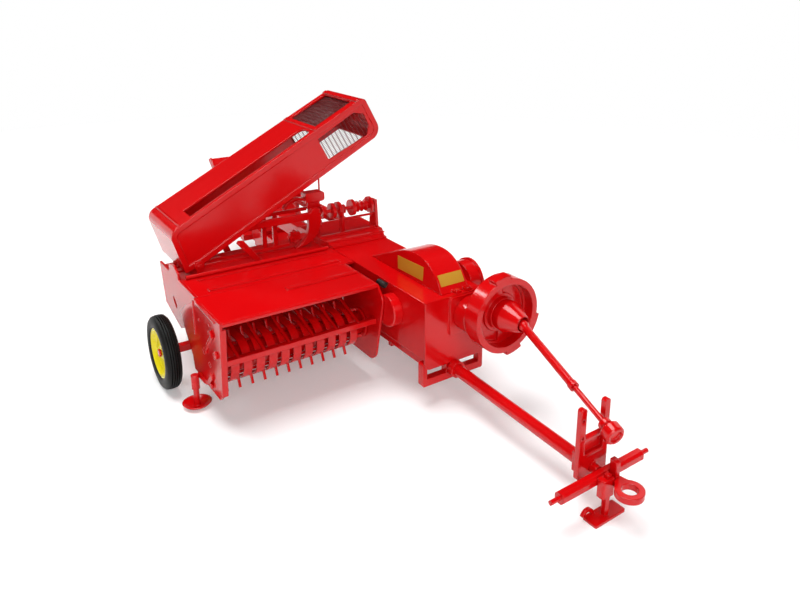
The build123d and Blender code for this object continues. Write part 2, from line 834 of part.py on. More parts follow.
lip_bar = box((side_x + flange_w, end_x), (lip_y, lip_y + lip_depth), (lip_z - 1.6, lip_z + 1.4))
export(lip_bar, "header_lip_bar")

# Wind guard strips rise rearwards from the lip bar, between the tines.
with BuildPart() as wind_guard:
    for k in range(guard_strips):
        x = tine_x + (guard_pitch * k + 0.5) * tine_pitch
        with BuildSketch(Plane.YZ.offset(x - guard_strip / 2)):
            with BuildLine():
                root = (lip_y + 1.2, lip_z + 1.4)
                tip = (lip_y + 1.2 + guard_reach, lip_z + 1.4 + guard_rise)
                Polyline(root, tip, (tip[0], tip[1] - 0.6), (root[0] + 3.0, root[1]), close=True)
            make_face()
        extrude(amount=guard_strip)
export(wind_guard.part, "wind_guard")

slot_y = 27.4
slot_z = 44.0
with BuildPart() as feeder_side:
    with BuildSketch(Plane.YZ.offset(inner_x)):
        with BuildLine():
            Polyline(
                (deck_front + 0.6, deck_z - 3.0),
                (deck_front + 4.4, table_z - 2.0),
                (12.5, table_z - 8.0),
                (20.7, table_z - 11.5),
                (deck_rear - 5.0, table_z - 4.9),
                (deck_rear, deck_z),
                # The ear that the hood's low end is hung from.
                (deck_step + 18.0, deck_z),
                (deck_step + 17.0, deck_z + 4.8),
                (deck_step + 8.0, deck_z + 6.4),
                (deck_step + 2.0, deck_z + 3.2),
                (deck_step + 1.0, deck_z),
                (deck_front + 0.6, deck_z),
                close=True,
            )
        make_face()
        with Locations(Location((slot_y, slot_z), 41.0)):
            SlotOverall(7.6, 3.0, mode=Mode.SUBTRACT)
    extrude(amount=skin)
export(feeder_side.part, "feeder_side_panel")

deck_x = inner_x + skin
with BuildPart() as deck:
    with Locations((deck_x, deck_front, deck_z - skin)):
        Box(case_x - deck_x, deck_step - deck_front, skin, align=(Align.MIN,) * 3)
    for y, width in ((-6.8, rib_w), (deck_step - 6.0, 2.4)):
        with Locations(((deck_x + case_x) / 2, y, deck_z)):
            Box(0.84 * (case_x - deck_x), width, rib_h, align=(Align.CENTER, Align.CENTER, Align.MIN))
export(deck.part, "feeder_deck")

rear_z = deck_z - deck_drop
with BuildPart() as rear_deck:
    with Locations((deck_x, deck_step, rear_z - skin)):
        Box(case_x - deck_x, deck_rear - deck_step, skin, align=(Align.MIN,) * 3)
    for y in (deck_step + 21.0, deck_step + 28.6):
        with Locations((deck_x + 40.0, y, rear_z)):
            Box(72.0, 2.4, rib_h, align=(Align.CENTER, Align.CENTER, Align.MIN))
export(rear_deck.part, "feeder_rear_deck")
export(box((deck_x, case_x), (-9.0, deck_rear), (table_z - skin, table_z)), "feed_table")
export(
    box((deck_x, case_x), (deck_rear, deck_rear + skin), (table_z - skin, deck_z - deck_drop)),
    "feeder_rear_wall",
)
rod_r = 1.1
export(rod_x(deck_step - rod_r, deck_z + rod_r, rod_r, deck_x + 2.4, case_x - 3.0), "hinge_rod")

band_back = -9.0
# Stripper bands: wide hoops round the reel, open at the back, with the tines between them.
with BuildPart() as bands:
    for i in range(1, tine_count + 1):
        x = tine_x + (i - 0.5) * tine_pitch - band_w / 2
        with BuildSketch(Plane.YZ.offset(x)):
            with BuildLine():
                top = Line((band_back, reel_z + band_r), (reel_y, reel_z + band_r))
                hoop = ThreePointArc(top @ 1, (reel_y - band_r, reel_z), (reel_y, reel_z - band_r))
                heel = Line(hoop @ 1, (reel_y, reel_z - band_r + band_t))
                inner = ThreePointArc(
                    heel @ 1,
                    (reel_y - band_r + band_t, reel_z),
                    (reel_y, reel_z + band_r - band_t),
                )
                back = Line(inner @ 1, (band_back, reel_z + band_r - band_t))
                Line(back @ 1, top @ 0)
            make_face()
        extrude(amount=band_w)
export(bands.part, "stripper_bands")

# ---------------------------------------------------------------- pickup reel
with BuildPart() as reel:
    with BuildSketch(Plane.YZ.offset(side_x)):
        with Locations((reel_y, reel_z)):
            Circle(stub_r)
    extrude(amount=header_end_x - side_x)
    reel_x0 = inner_x + gap
    reel_x1 = header_end_x - skin - gap
    with BuildSketch(Plane.YZ.offset(reel_x0)):
        with Locations((reel_y, reel_z)):
            Circle(2.6)
    extrude(amount=reel_x1 - reel_x0)
    for x in (reel_x0, (reel_x0 + reel_x1) / 2, reel_x1 - 1.0):
        with BuildSketch(Plane.YZ.offset(x)):
            with Locations((reel_y, reel_z)):
                Circle(tine_bar_r + 1.2)
        extrude(amount=1.0)
    for k in range(tine_bars):
        turn = radians(-114 + k * 360 / tine_bars)
        with BuildSketch(Plane.YZ.offset(reel_x0)):
            with Locations((reel_y + tine_bar_r * cos(turn), reel_z + tine_bar_r * sin(turn))):
                Rectangle(tine_bar, tine_bar, rotation=degrees(turn))
        extrude(amount=reel_x1 - reel_x0)
        for i in range(tine_count):
            x = tine_x + i * tine_pitch
            with BuildSketch(Plane.YZ.offset(x - tine_w / 2)):
                with Locations((reel_y, reel_z)):
                    with Locations(Location((0, 0), degrees(turn))):
                        with Locations(((tine_r + tine_bar_r) / 2, 0)):
                            Rectangle(tine_r - tine_bar_r, 0.9)
            extrude(amount=tine_w)
export(reel.part, "pickup_reel")

# ---------------------------------------------------------------- skid dish beside the header
sleeve_r = 2.1
arm_t = 1.2
dish_x = side_x - arm_t - sleeve_r
dish_y = -14.0
dish_r = 7.6
dish_h = 2.6
with BuildPart() as dish:
    with BuildSketch(Plane(origin=(dish_x, dish_y, 0), x_dir=(1, 0, 0), z_dir=(0, -1, 0))):
        with BuildLine():
            Polyline(
                (0, 0),
                (3.4, 0),
                (dish_r - 1.2, 1.2),
                (dish_r, dish_h),
                (dish_r - 0.9, dish_h),
                (dish_r - 2.0, 1.9),
                (3.0, 0.9),
                (0, 0.9),
                close=True,
            )
        make_face()
    revolve(axis=Axis((dish_x, dish_y, 0), (0, 0, 1)))
    with BuildSketch(Plane.XY.offset(0.9)):
        with Locations((dish_x, dish_y)):
            Circle(1.5)
    extrude(amount=16.0)
    with Locations((dish_x, dish_y, 14.5)):
        Cylinder(sleeve_r, 8.0)
export(dish.part, "skid_dish")

with BuildPart() as skid_arm:
    with BuildSketch(Plane.YZ.offset(side_x - arm_t)):
        with BuildLine():
            heel = Line((dish_y + 1.4, 17.4), (dish_y - 7.0, 18.2))
            sweep_up = ThreePointArc(heel @ 1, (dish_y - 14.0, 20.0), (dish_y - 20.0, 25.6))
        trace(line_width=2.6)
        with Locations((dish_y - 20.0, 25.6)):
            Circle(1.9)
    extrude(amount=arm_t)
export(skid_arm.part, "skid_arm")

# ---------------------------------------------------------------- feeder hood
hood_base = Plane(
    origin=(hood_x, hood_front, hood_z),
    x_dir=(cos(radians(hood_tilt)), 0, sin(radians(hood_tilt))),
    z_dir=(0, -1, 0),
)
hood_roof = Plane(origin=hood_base.origin, x_dir=hood_base.x_dir, z_dir=hood_base.y_dir)
with BuildSketch() as hood_side:
    with BuildLine():
        Polyline(
            (0, 0),
            (10.0, -hood_sag),
            (hood_len, -hood_sag),
            (hood_len, hood_h),
            (5.7, hood_h),
            close=True,
        )
    make_face()
    for corner, r in (((hood_len, -hood_sag), 7.4), ((hood_len, hood_h), 3.0), ((5.7, hood_h), 6.4)):
        fillet(hood_side.vertices().sort_by_distance((*corner, 0))[0], r)
with BuildSketch() as hood_window:
    with BuildLine():
        Polyline(
            (hood_len - 39.5, 4.5),
            (hood_len - 9.3, 2.9),
            (hood_len - 5.4, 7.7),
            (hood_len - 5.0, 16.0),
            (hood_len - 10.9, 20.5),
            (hood_len - 39.3, 19.7),
            close=True,
        )
    make_face()
    fillet(hood_window.vertices(), 1.2)
slot_u = (20.4, 105.5)
slot_d = (3.0, 16.0)
vent_u = (110.0, 138.6)
vent_d = (6.0, 42.0)
with BuildPart() as hood:
    with BuildSketch(hood_base.offset(-hood_depth + hood_bead)):
        add(hood_side.sketch_local)
    extrude(amount=hood_depth - 2 * hood_bead)
    # A raised border runs round both faces.
    for d, way in ((hood_bead, 1), (hood_depth - hood_bead, -1)):
        with BuildSketch(hood_base.offset(-d)):
            add(hood_side.sketch_local)
            offset(hood_side.sketch_local, amount=-hood_bead_w, kind=Kind.INTERSECTION, mode=Mode.SUBTRACT)
        extrude(amount=way * hood_bead)
    # Raised seams across the roof: the fold, the screen's frame and the high end's rim.
    for u0, u1, rise in ((12.0, 13.0, 0.5), (vent_u[0] - 3.0, vent_u[0], 0.5), (vent_u[1] + 0.6, hood_len - 3.4, 0.8)):
        with BuildSketch(hood_roof.offset(hood_h)):
            with Locations(((u0 + u1) / 2, hood_depth / 2)):
                Rectangle(u1 - u0, hood_depth - 2 * hood_bead)
        extrude(amount=rise)
    with BuildSketch(hood_base.offset(-hood_depth + hood_bead + hood_t)):
        offset(hood_side.sketch_local, amount=-hood_t)
        with Locations((hood_len / 2, 0)):
            Rectangle(hood_len - 17.0, 2 * hood_sag + 2.0)
    extrude(amount=hood_depth - 2 * (hood_bead + hood_t), mode=Mode.SUBTRACT)
    with BuildSketch(hood_base.offset(1.0)):
        add(hood_window.sketch_local)
    extrude(amount=-hood_depth - 2.0, mode=Mode.SUBTRACT)
    # The long slot in the roof and the screened opening at its high end.
    with BuildSketch(hood_roof.offset(hood_h + 2.0)) as openings:
        with Locations(((slot_u[0] + slot_u[1]) / 2, (slot_d[0] + slot_d[1]) / 2)):
            Rectangle(slot_u[1] - slot_u[0], slot_d[1] - slot_d[0])
        fillet(openings.vertices().group_by(Axis.X)[-1], 4.5)
        with Locations(((vent_u[0] + vent_u[1]) / 2, (vent_d[0] + vent_d[1]) / 2)):
            Rectangle(vent_u[1] - vent_u[0], vent_d[1] - vent_d[0])
    extrude(amount=-4.0 - hood_t, mode=Mode.SUBTRACT)
export(hood.part, "feeder_hood")

# Wire screens behind the two face windows and under the roof's opening.
window_mid = (hood_len - 22.25, 11.7)
window_size = (36.4, 19.4)
face_inset = hood_bead + hood_t
with BuildPart() as screens:
    for d in (face_inset + screen_wire, hood_depth - face_inset):
        add(screen(Plane(hood_base.offset(-d).from_local_coords(Vector(*window_mid, 0)), x_dir=hood_base.x_dir, z_dir=hood_base.z_dir), *window_size))
    vent_mid = ((vent_u[0] + vent_u[1]) / 2, (vent_d[0] + vent_d[1]) / 2)
    vent_place = hood_roof.offset(hood_h - hood_t - screen_wire).from_local_coords(Vector(*vent_mid, 0))
    add(screen(Plane(vent_place, x_dir=hood_roof.x_dir, z_dir=hood_roof.z_dir), vent_u[1] - vent_u[0] + 3.0, vent_d[1] - vent_d[0] + 1.6))
export(screens.part, "hood_screens")

# ---------------------------------------------------------------- knotter drive
shaft_x0 = 30.8
spools = (
    # place from the shaft's right end, radius, width
    (0.6, 4.2, 2.0),
    (7.4, 5.1, 2.2),
    (12.0, 5.4, 2.0),
    (16.2, 3.0, 1.2),
    (21.8, 5.4, 2.2),
    (35.2, 5.4, 1.8),
)
spring_x = 25.6
spring_coils = 3
spring_pitch = 2.9
spring_r = 3.9
with BuildPart() as knot_shaft:
    # The profile steps out at each spool and zigzags along the spring.
    shape = [(shaft_x0, knot_z)]
    for place, r, width in spools[:-1]:
        x = shaft_x0 + place
        shape += [(x, knot_z + knot_shaft_r), (x, knot_z + r), (x + width, knot_z + r), (x + width, knot_z + knot_shaft_r)]
    for k in range(spring_coils):
        x = shaft_x0 + spring_x + k * spring_pitch
        shape += [(x, knot_z + 0.6 * spring_r), (x + spring_pitch / 2, knot_z + spring_r)]
    place, r, width = spools[-1]
    x = shaft_x0 + place
    shape += [(x, knot_z + 0.6 * spring_r), (x, knot_z + r), (x + width, knot_z + r), (x + width, knot_z + knot_shaft_r)]
    shape += [(knot_end_x, knot_z + knot_shaft_r), (knot_end_x, knot_z)]
    shape.insert(1, (shaft_x0, knot_z + knot_shaft_r))
    with BuildSketch(Plane(origin=(0, knot_y, 0), x_dir=(1, 0, 0), z_dir=(0, -1, 0))):
        with BuildLine():
            Polyline(*shape, close=True)
        make_face()
    revolve(axis=Axis((0, knot_y, knot_z), (1, 0, 0)))
export(knot_shaft.part, "knotter_shaft")

end_t = 2.0
with BuildPart() as knot_stand:
    with BuildSketch(Plane.YZ.offset(knot_end_x)):
        with BuildLine():
            Polyline(
                (knot_y - 4.5, cover_top),
                (knot_y + 4.5, cover_top),
                (knot_y + 3.0, knot_z + 3.2),
                (knot_y - 3.0, knot_z + 3.2),
                close=True,
            )
        make_face()
    extrude(amount=end_t)
export(knot_stand.part, "knotter_end_stand")

# The trip arm: a level bar that turns down to the deck in a toothed curve, with a ratchet wheel behind.
arm_y = 34.4
arm_d = 3.0
arm_x = 28.2  # outer edge of the curve
leg_x = 15.0
leg_w = 3.6
bar_end_x = -20.0
bar_top = knot_z + 2.2
bar_low = knot_z - 2.0
tooth = 1.3
arm_teeth = 9
ratchet = (13.2, rear_z + 6.4)
ratchet_r = 4.4
ratchet_teeth = 8
hub_w = 3.6
with BuildPart() as trip_arm:
    with BuildSketch(Plane.XZ.offset(-(arm_y + arm_d))):
        with BuildLine():
            edge = ThreePointArc((arm_x, bar_top + 2.4), (arm_x - 0.8, knot_z - 11.2), (leg_x, rear_z))
            foot = Line(edge @ 1, (leg_x - leg_w, rear_z))
            inside = ThreePointArc(foot @ 1, (arm_x - 8.8, knot_z - 12.2), (arm_x - 7.2, bar_low))
            Polyline(
                inside @ 1,
                (bar_end_x, bar_low),
                (bar_end_x, bar_top),
                (arm_x - 5.6, bar_top),
                (arm_x - 4.2, bar_top + 2.4),
                edge @ 0,
            )
        make_face()
        for k in range(arm_teeth):
            with Locations(edge @ (0.04 + 0.76 * k / arm_teeth)):
                Rectangle(tooth, tooth, rotation=20.0 - 60.0 * k / arm_teeth)
    extrude(amount=arm_d)
    # The ratchet wheel stands behind the leg on a short hub.
    with BuildSketch(Plane.XZ.offset(-(arm_y + arm_d))):
        with Locations((ratchet[0] + hub_w, ratchet[1])):
            Rectangle(3 * hub_w, hub_w)
    extrude(amount=-1.0)
    with BuildSketch(Plane.XZ.offset(-(arm_y + arm_d + 1.0))):
        with Locations(ratchet):
            Circle(ratchet_r - 0.8)
            with PolarLocations(ratchet_r - 0.8, ratchet_teeth):
                Rectangle(tooth, tooth, rotation=45.0)
    extrude(amount=-2.4)
export(trip_arm.part, "trip_arm")

# The posts that carry the shaft, and behind them the linkage bar on its own two posts.
link_y = 47.4
link_z = knot_z + 1.6
post_y = knot_y - 0.8
carrier_x = 45.9
with BuildPart() as knot_frame:
    with Locations((carrier_x, post_y, cover_top)):
        Box(1.6, 4.0, knot_z - cover_top + 2.4, align=(Align.CENTER, Align.CENTER, Align.MIN))
    with BuildSketch(Plane.YZ.offset(carrier_x)):
        with Locations((post_y, knot_z - 6.7)):
            Circle(0.8)
    extrude(amount=knot_end_x - carrier_x)
    with BuildSketch(Plane.YZ.offset(carrier_x - 5.0)):
        with Locations((knot_y, knot_z)):
            Circle(knot_shaft_r + fit)
    extrude(amount=10.0, mode=Mode.SUBTRACT)
    with Locations((10.0, link_y, link_z)):
        Box(31.0, 2.0, 2.0)
    for x in (-3.6, 3.6):
        with Locations((x, link_y, rear_z)):
            Box(2.8, 2.0, link_z - rear_z, align=(Align.CENTER, Align.CENTER, Align.MIN))
export(knot_frame.part, "knotter_frame")

# The knotter head: a block on a post, with a toothed disc, a curled horn and a thin upright rod.
head_x = (23.3, 36.4)
head_y = (42.0, 49.0)
head_z = (knot_z + 6.6, knot_z + 13.0)
rod_top = 112.0
disc_r = 5.2
with BuildPart() as knot_head:
    with Locations((head_x[0], head_y[0], head_z[0])):
        Box(head_x[1] - head_x[0], head_y[1] - head_y[0], head_z[1] - head_z[0], align=(Align.MIN,) * 3)
        fillet(knot_head.edges().filter_by(Axis.Y).group_by(Axis.X)[-1], 2.0)
    with Locations((31.5, 46.0, cover_top)):
        Box(3.4, 4.0, head_z[0] - cover_top, align=(Align.CENTER, Align.CENTER, Align.MIN))
    with BuildSketch(Plane.XZ.offset(-44.0)):
        with Locations((29.0, head_z[0] - 3.0)):
            Circle(disc_r - 0.8)
            with PolarLocations(disc_r - 0.8, 10):
                Rectangle(tooth, tooth, rotation=45.0)
    extrude(amount=1.6)
    with BuildSketch(Plane.XZ.offset(-47.0)):
        with BuildLine():
            ThreePointArc((head_x[0] + 0.6, head_z[0] + 1.4), (15.5, head_z[0] + 2.6), (9.6, head_z[0] - 2.4))
        trace(line_width=1.6)
    extrude(amount=3.0)
    with BuildSketch(Plane.XY.offset(head_z[1])):
        with Locations((34.2, 45.0)):
            Circle(0.6)
    extrude(amount=rod_top - head_z[1])
export(knot_head.part, "knotter_head")

# ---------------------------------------------------------------- hood brackets
pivot_x = hood_x + 7.6
pivot_z = 64.8
pivot_r = 2.8
strut_x = hood_x + 31.6
strut_z = 72.7
strut_foot_x = strut_x + 12.2
strut_w = 4.2
bracket_t = 1.5
hood_back = hood_front + hood_depth
for y, name in ((hood_front - bracket_t, "front"), (hood_back, "rear")):
    low = rear_z if y < deck_rear else table_z
    with BuildPart() as bracket:
        with BuildSketch(Plane.XZ.offset(-y)):
            with Locations((pivot_x, pivot_z)):
                Circle(pivot_r)
            with Locations((pivot_x, (pivot_z + low) / 2)):
                Rectangle(3.6, pivot_z - low)
            with BuildLine():
                Polyline(
                    (strut_x - strut_w / 2, strut_z + 1.0),
                    (strut_x - strut_w / 4, strut_z + 2.4),
                    (strut_x + strut_w / 2, strut_z + 2.0),
                    (strut_foot_x + strut_w / 2, low),
                    (strut_foot_x - strut_w / 2, low),
                    close=True,
                )
            make_face()
        extrude(amount=-bracket_t)
        if y > deck_rear:
            with Locations(((pivot_x + strut_foot_x) / 2, (deck_rear + skin + y + bracket_t) / 2, low - 0.8)):
                Box(strut_foot_x - pivot_x + 4.0, y + bracket_t - deck_rear - skin, 1.6)
    export(bracket.part, f"hood_bracket_{name}")

with BuildPart() as axle_bracket:
    with Locations((deck_x + 5.0, axle_y, (beam_top + table_z - skin) / 2)):
        Box(2.0, 8.0, table_z - skin - beam_top)
export(axle_bracket.part, "axle_bracket")

# ---------------------------------------------------------------- bale chute
chute_rise = atan2(chute_z - case_bottom, chute_rear - case_rear)
lip_h = 4.0
with BuildPart() as chute:
    with BuildSketch(Plane.YZ.offset(case_x - chute_flare)) as face:
        with BuildLine():
            Polyline(
                (case_rear, case_bottom),
                (case_rear + 6.0, case_bottom),
                (chute_rear, chute_z - chute_t),
                (chute_rear - 0.8, chute_z),
                (case_rear, case_bottom + 4.2),
                close=True,
            )
        make_face()
    extrude(amount=case_w + 2 * chute_flare)
    # Side lips.
    for x in (case_x - chute_flare, case_x1 + chute_flare - chute_t):
        with BuildSketch(Plane.YZ.offset(x)):
            with BuildLine():
                Polyline(
                    (case_rear + 5.0, case_bottom + 6.0),
                    (chute_rear - 2.0, chute_z - 1.6),
                    (chute_rear - 2.0 - lip_h * sin(chute_rise), chute_z - 1.6 + lip_h * cos(chute_rise)),
                    (case_rear + 5.0, case_bottom + 6.0 + lip_h),
                    close=True,
                )
            make_face()
        extrude(amount=chute_t)
export(chute.part, "bale_chute")

# Chains from the rails' rear ends to the chute's lips: links alternately flat and on edge.
link_len = 5.8
link_w = 2.4
link_wire = 0.7
chain_links = 7
chain_sag = 3.0
hook_share = 0.5  # the chains are hooked to the lips half-way up the chute
hook_y = case_rear + 5.0 + hook_share * (chute_rear - case_rear - 7.0) - lip_h
hook_z = case_bottom + 6.0 + hook_share * (chute_z - case_bottom - 7.6) + lip_h
with BuildPart() as chains:
    for x, way in ((case_x + 1.0, -1), (case_x1 - 1.0, 1)):
        start = Vector(x, case_rear + 0.8, case_top)
        end = Vector(x + way * (chute_flare - 0.4), hook_y, hook_z)
        for k in range(chain_links):
            share = (k + 0.5) / chain_links
            place = start + (end - start) * share - Vector(0, 0, chain_sag * sin(share * 3.14159))
            with Locations(Location(place, (-12.0 + 8.0 * share, 0, -way * 9.0))):
                if k % 2:
                    Box(link_wire, link_len, link_w)
                else:
                    Box(link_w, link_len, link_wire)
export(chains.part, "chute_chains")

# Bale tension: a cross bar on the rails with two screws, their springs and crank handles.
tension_y = case_rear - 12.0
bar_h = 2.4
screw_r = 0.9
screw_h = 12.6
coil_r = 2.1
coils = 3
coil_pitch = 2.8
with BuildPart() as tension:
    with Locations((case_mid, tension_y, case_top)):
        Box(case_w + 4.0, 5.0, bar_h, align=(Align.CENTER, Align.CENTER, Align.MIN))
    for x in (case_x + 5.0, case_x1 - 5.0):
        # One profile for the screw and, round its foot, the spring.
        with BuildSketch(Plane(origin=(x, tension_y, case_top + bar_h), x_dir=(1, 0, 0), z_dir=(0, -1, 0))):
            with BuildLine():
                side = [(0, 0)]
                for k in range(coils):
                    side += [(screw_r, k * coil_pitch), (coil_r, (k + 0.5) * coil_pitch)]
                side += [(screw_r, coils * coil_pitch), (screw_r, screw_h), (0, screw_h)]
                Polyline(*side, close=True)
            make_face()
        revolve(axis=Axis((x, tension_y, 0), (0, 0, 1)))
        # The crank handle on top.
        with Locations((x, tension_y + 3.0, case_top + bar_h + screw_h)):
            Box(1.8, 8.0, 1.2)
        with Locations((x, tension_y + 6.2, case_top + bar_h + screw_h + 2.0)):
            Box(1.4, 1.4, 4.0)
export(tension.part, "tension_screws")
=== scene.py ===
"""Finish, fine trim and studio for a die-cast model of a towed square baler.

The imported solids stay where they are. This script paints them, builds the tyres, wire
screens, bolt heads and blank plates around them, and sets up a plain pale studio.
"""

from __future__ import annotations

import logging
import math
from dataclasses import dataclass, field
from enum import Enum

import bmesh
import bpy
from mathutils import Matrix, Vector

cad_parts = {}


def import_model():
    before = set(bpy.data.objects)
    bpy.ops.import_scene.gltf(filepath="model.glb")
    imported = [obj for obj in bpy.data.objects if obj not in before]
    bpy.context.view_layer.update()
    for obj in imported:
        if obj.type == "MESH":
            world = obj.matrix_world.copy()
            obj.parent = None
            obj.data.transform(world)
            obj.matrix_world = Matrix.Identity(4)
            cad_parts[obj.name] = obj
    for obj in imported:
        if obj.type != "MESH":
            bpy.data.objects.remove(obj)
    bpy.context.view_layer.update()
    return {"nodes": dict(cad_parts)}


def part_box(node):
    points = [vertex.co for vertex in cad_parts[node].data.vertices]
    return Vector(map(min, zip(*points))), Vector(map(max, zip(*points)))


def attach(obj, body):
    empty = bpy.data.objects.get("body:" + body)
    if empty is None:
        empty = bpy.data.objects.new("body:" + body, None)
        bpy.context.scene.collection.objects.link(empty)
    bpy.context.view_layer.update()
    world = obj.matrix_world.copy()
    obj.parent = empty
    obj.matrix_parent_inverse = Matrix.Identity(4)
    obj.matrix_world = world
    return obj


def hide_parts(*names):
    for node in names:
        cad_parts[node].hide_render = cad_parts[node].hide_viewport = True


MM = 0.001
log = logging.getLogger("baler")

Colour = tuple[float, float, float]

# a Mix node keeps its sockets for colours behind those for numbers and vectors
COLOUR_A = 6
COLOUR_B = 7
COLOUR_OUT = 2
SEEN_BY = ("Is Camera Ray", "Is Glossy Ray", "Is Transmission Ray")


# ---------------------------------------------------------------- shader boards


class Sock:
    """A node socket that takes part in plain arithmetic."""

    def __init__(self, board: "Board", socket: bpy.types.NodeSocket) -> None:
        """Keeps the board and the socket it wraps."""
        self.board = board
        self.socket = socket

    def _math(self, operation: str, *values: "Sock | float") -> "Sock":
        """Adds one Math node.

        Args:
            operation: The Math node's operation.
            values: Its inputs in order.

        Returns:
            The node's output.
        """
        links = dict(enumerate(values))
        return self.board.node("ShaderNodeMath", {"operation": operation}, links)

    def __add__(self, other: "Sock | float") -> "Sock":
        """Sum of two values."""
        return self._math("ADD", self, other)

    def __radd__(self, other: float) -> "Sock":
        """Sum with a number on the left."""
        return self._math("ADD", other, self)

    def __sub__(self, other: "Sock | float") -> "Sock":
        """Difference of two values."""
        return self._math("SUBTRACT", self, other)

    def __rsub__(self, other: float) -> "Sock":
        """Difference from a number on the left."""
        return self._math("SUBTRACT", other, self)

    def __mul__(self, other: "Sock | float") -> "Sock":
        """Product of two values."""
        return self._math("MULTIPLY", self, other)

    def __rmul__(self, other: float) -> "Sock":
        """Product with a number on the left."""
        return self._math("MULTIPLY", other, self)

    def __truediv__(self, other: "Sock | float") -> "Sock":
        """Quotient of two values."""
        return self._math("DIVIDE", self, other)

    def __rtruediv__(self, other: float) -> "Sock":
        """Quotient with a number on the left."""
        return self._math("DIVIDE", other, self)

    def clipped(self) -> "Sock":
        """The value held between 0 and 1."""
        return self._math("MINIMUM", self._math("MAXIMUM", self, 0.0), 1.0)


class Board:
    """A material's node tree, filled one node at a time."""

    def __init__(self, tree: bpy.types.NodeTree) -> None:
        """Empties the tree."""
        self.tree = tree
        tree.nodes.clear()

    def node(
        self,
        kind: str,
        settings: dict[str, object] | None = None,
        inputs: dict[str | int, object] | None = None,
        output: str | int = 0,
    ) -> Sock:
        """Adds a node, first with its settings and then with its inputs.

        Args:
            kind: The node's type.
            settings: The node's own properties.
            inputs: A value or a link for each named or numbered input.
            output: The output to hand back.

        Returns:
            That output, wrapped.
        """
        made = self.tree.nodes.new(kind)
        for name, value in (settings or {}).items():
            setattr(made, name, value)
        for key, value in (inputs or {}).items():
            if isinstance(value, Sock):
                self.tree.links.new(value.socket, made.inputs[key])
            else:
                made.inputs[key].default_value = value
        if not made.outputs:
            return Sock(self, made.inputs[0])
        return Sock(self, made.outputs[output])

    def place(self, kind: str = "Object") -> Sock:
        """Coordinates of one kind, by default the object's own in metres."""
        return self.node("ShaderNodeTexCoord", output=kind)

    def light_path(self, *kinds: str) -> list[Sock]:
        """Outputs of a Light Path node, one for each kind of ray."""
        path = self.tree.nodes.new("ShaderNodeLightPath")
        return [Sock(self, path.outputs[kind]) for kind in kinds]

    def noise(self, scale: float, detail: float = 2.0, roughness: float = 0.5) -> Sock:
        """Smooth noise from 0 to 1.

        Args:
            scale: Cells in a metre.
            detail: Octaves.
            roughness: Weight of the finer octaves.

        Returns:
            The noise value.
        """
        inputs = {"Vector": self.place(), "Scale": scale, "Detail": detail, "Roughness": roughness}
        return self.node("ShaderNodeTexNoise", {}, inputs, "Fac")

    def mix_colour(self, factor: Sock, low: Colour, high: Colour) -> Sock:
        """Blends two colours.

        Args:
            factor: Share of the second colour.
            low: First colour.
            high: Second colour.

        Returns:
            The blended colour.
        """
        mix = self.tree.nodes.new("ShaderNodeMix")
        mix.data_type = "RGBA"
        self.tree.links.new(factor.socket, mix.inputs[0])
        mix.inputs[COLOUR_A].default_value = (*low, 1.0)
        mix.inputs[COLOUR_B].default_value = (*high, 1.0)
        return Sock(self, mix.outputs[COLOUR_OUT])

    def surface(self, shader: Sock) -> None:
        """Wires a shader to the material's output."""
        self.node("ShaderNodeOutputMaterial", {}, {"Surface": shader})


def shade(colour: Colour, share: float) -> Colour:
    """A colour made darker or lighter by a share."""
    return tuple(min(1.0, channel * share) for channel in colour)


# ---------------------------------------------------------------- finishes


@dataclass(frozen=True)
class Enamel:
    """Glossy sprayed enamel on cast metal, with softened edges and a faint ripple.

    The three scales are in cells to the metre.
    """

    name: str
    colour: Colour
    roughness: float = 0.15
    specular: float = 0.42
    edge: float = 0.8 * MM
    ripple: float = 0.015 * MM
    ripple_scale: float = 900.0
    dust: float = 0.06
    dust_scale: float = 160.0
    cloud_scale: float = 45.0
    darkest: float = 0.93
    palest: float = 1.05

    def build(self) -> bpy.types.Material:
        """Makes the material.

        Returns:
            The enamel as a node material.
        """
        board = new_board(self.name)
        cloud = board.noise(self.cloud_scale, 3.0)
        peel = board.noise(self.ripple_scale, 2.0)
        tint = board.mix_colour(
            cloud, shade(self.colour, self.darkest), shade(self.colour, self.palest)
        )
        rough = self.roughness + (board.noise(self.dust_scale, 4.0) - 0.5) * self.dust
        rounded = board.node("ShaderNodeBevel", {"samples": 6}, {"Radius": self.edge})
        bump_inputs = {"Height": peel, "Strength": 0.35, "Distance": self.ripple, "Normal": rounded}
        bump = board.node("ShaderNodeBump", {}, bump_inputs)
        shader = board.node(
            "ShaderNodeBsdfPrincipled",
            {},
            {
                "Base Color": tint,
                "Roughness": rough,
                "Normal": bump,
                "Specular IOR Level": self.specular,
            },
        )
        board.surface(shader)
        return bpy.data.materials[self.name]


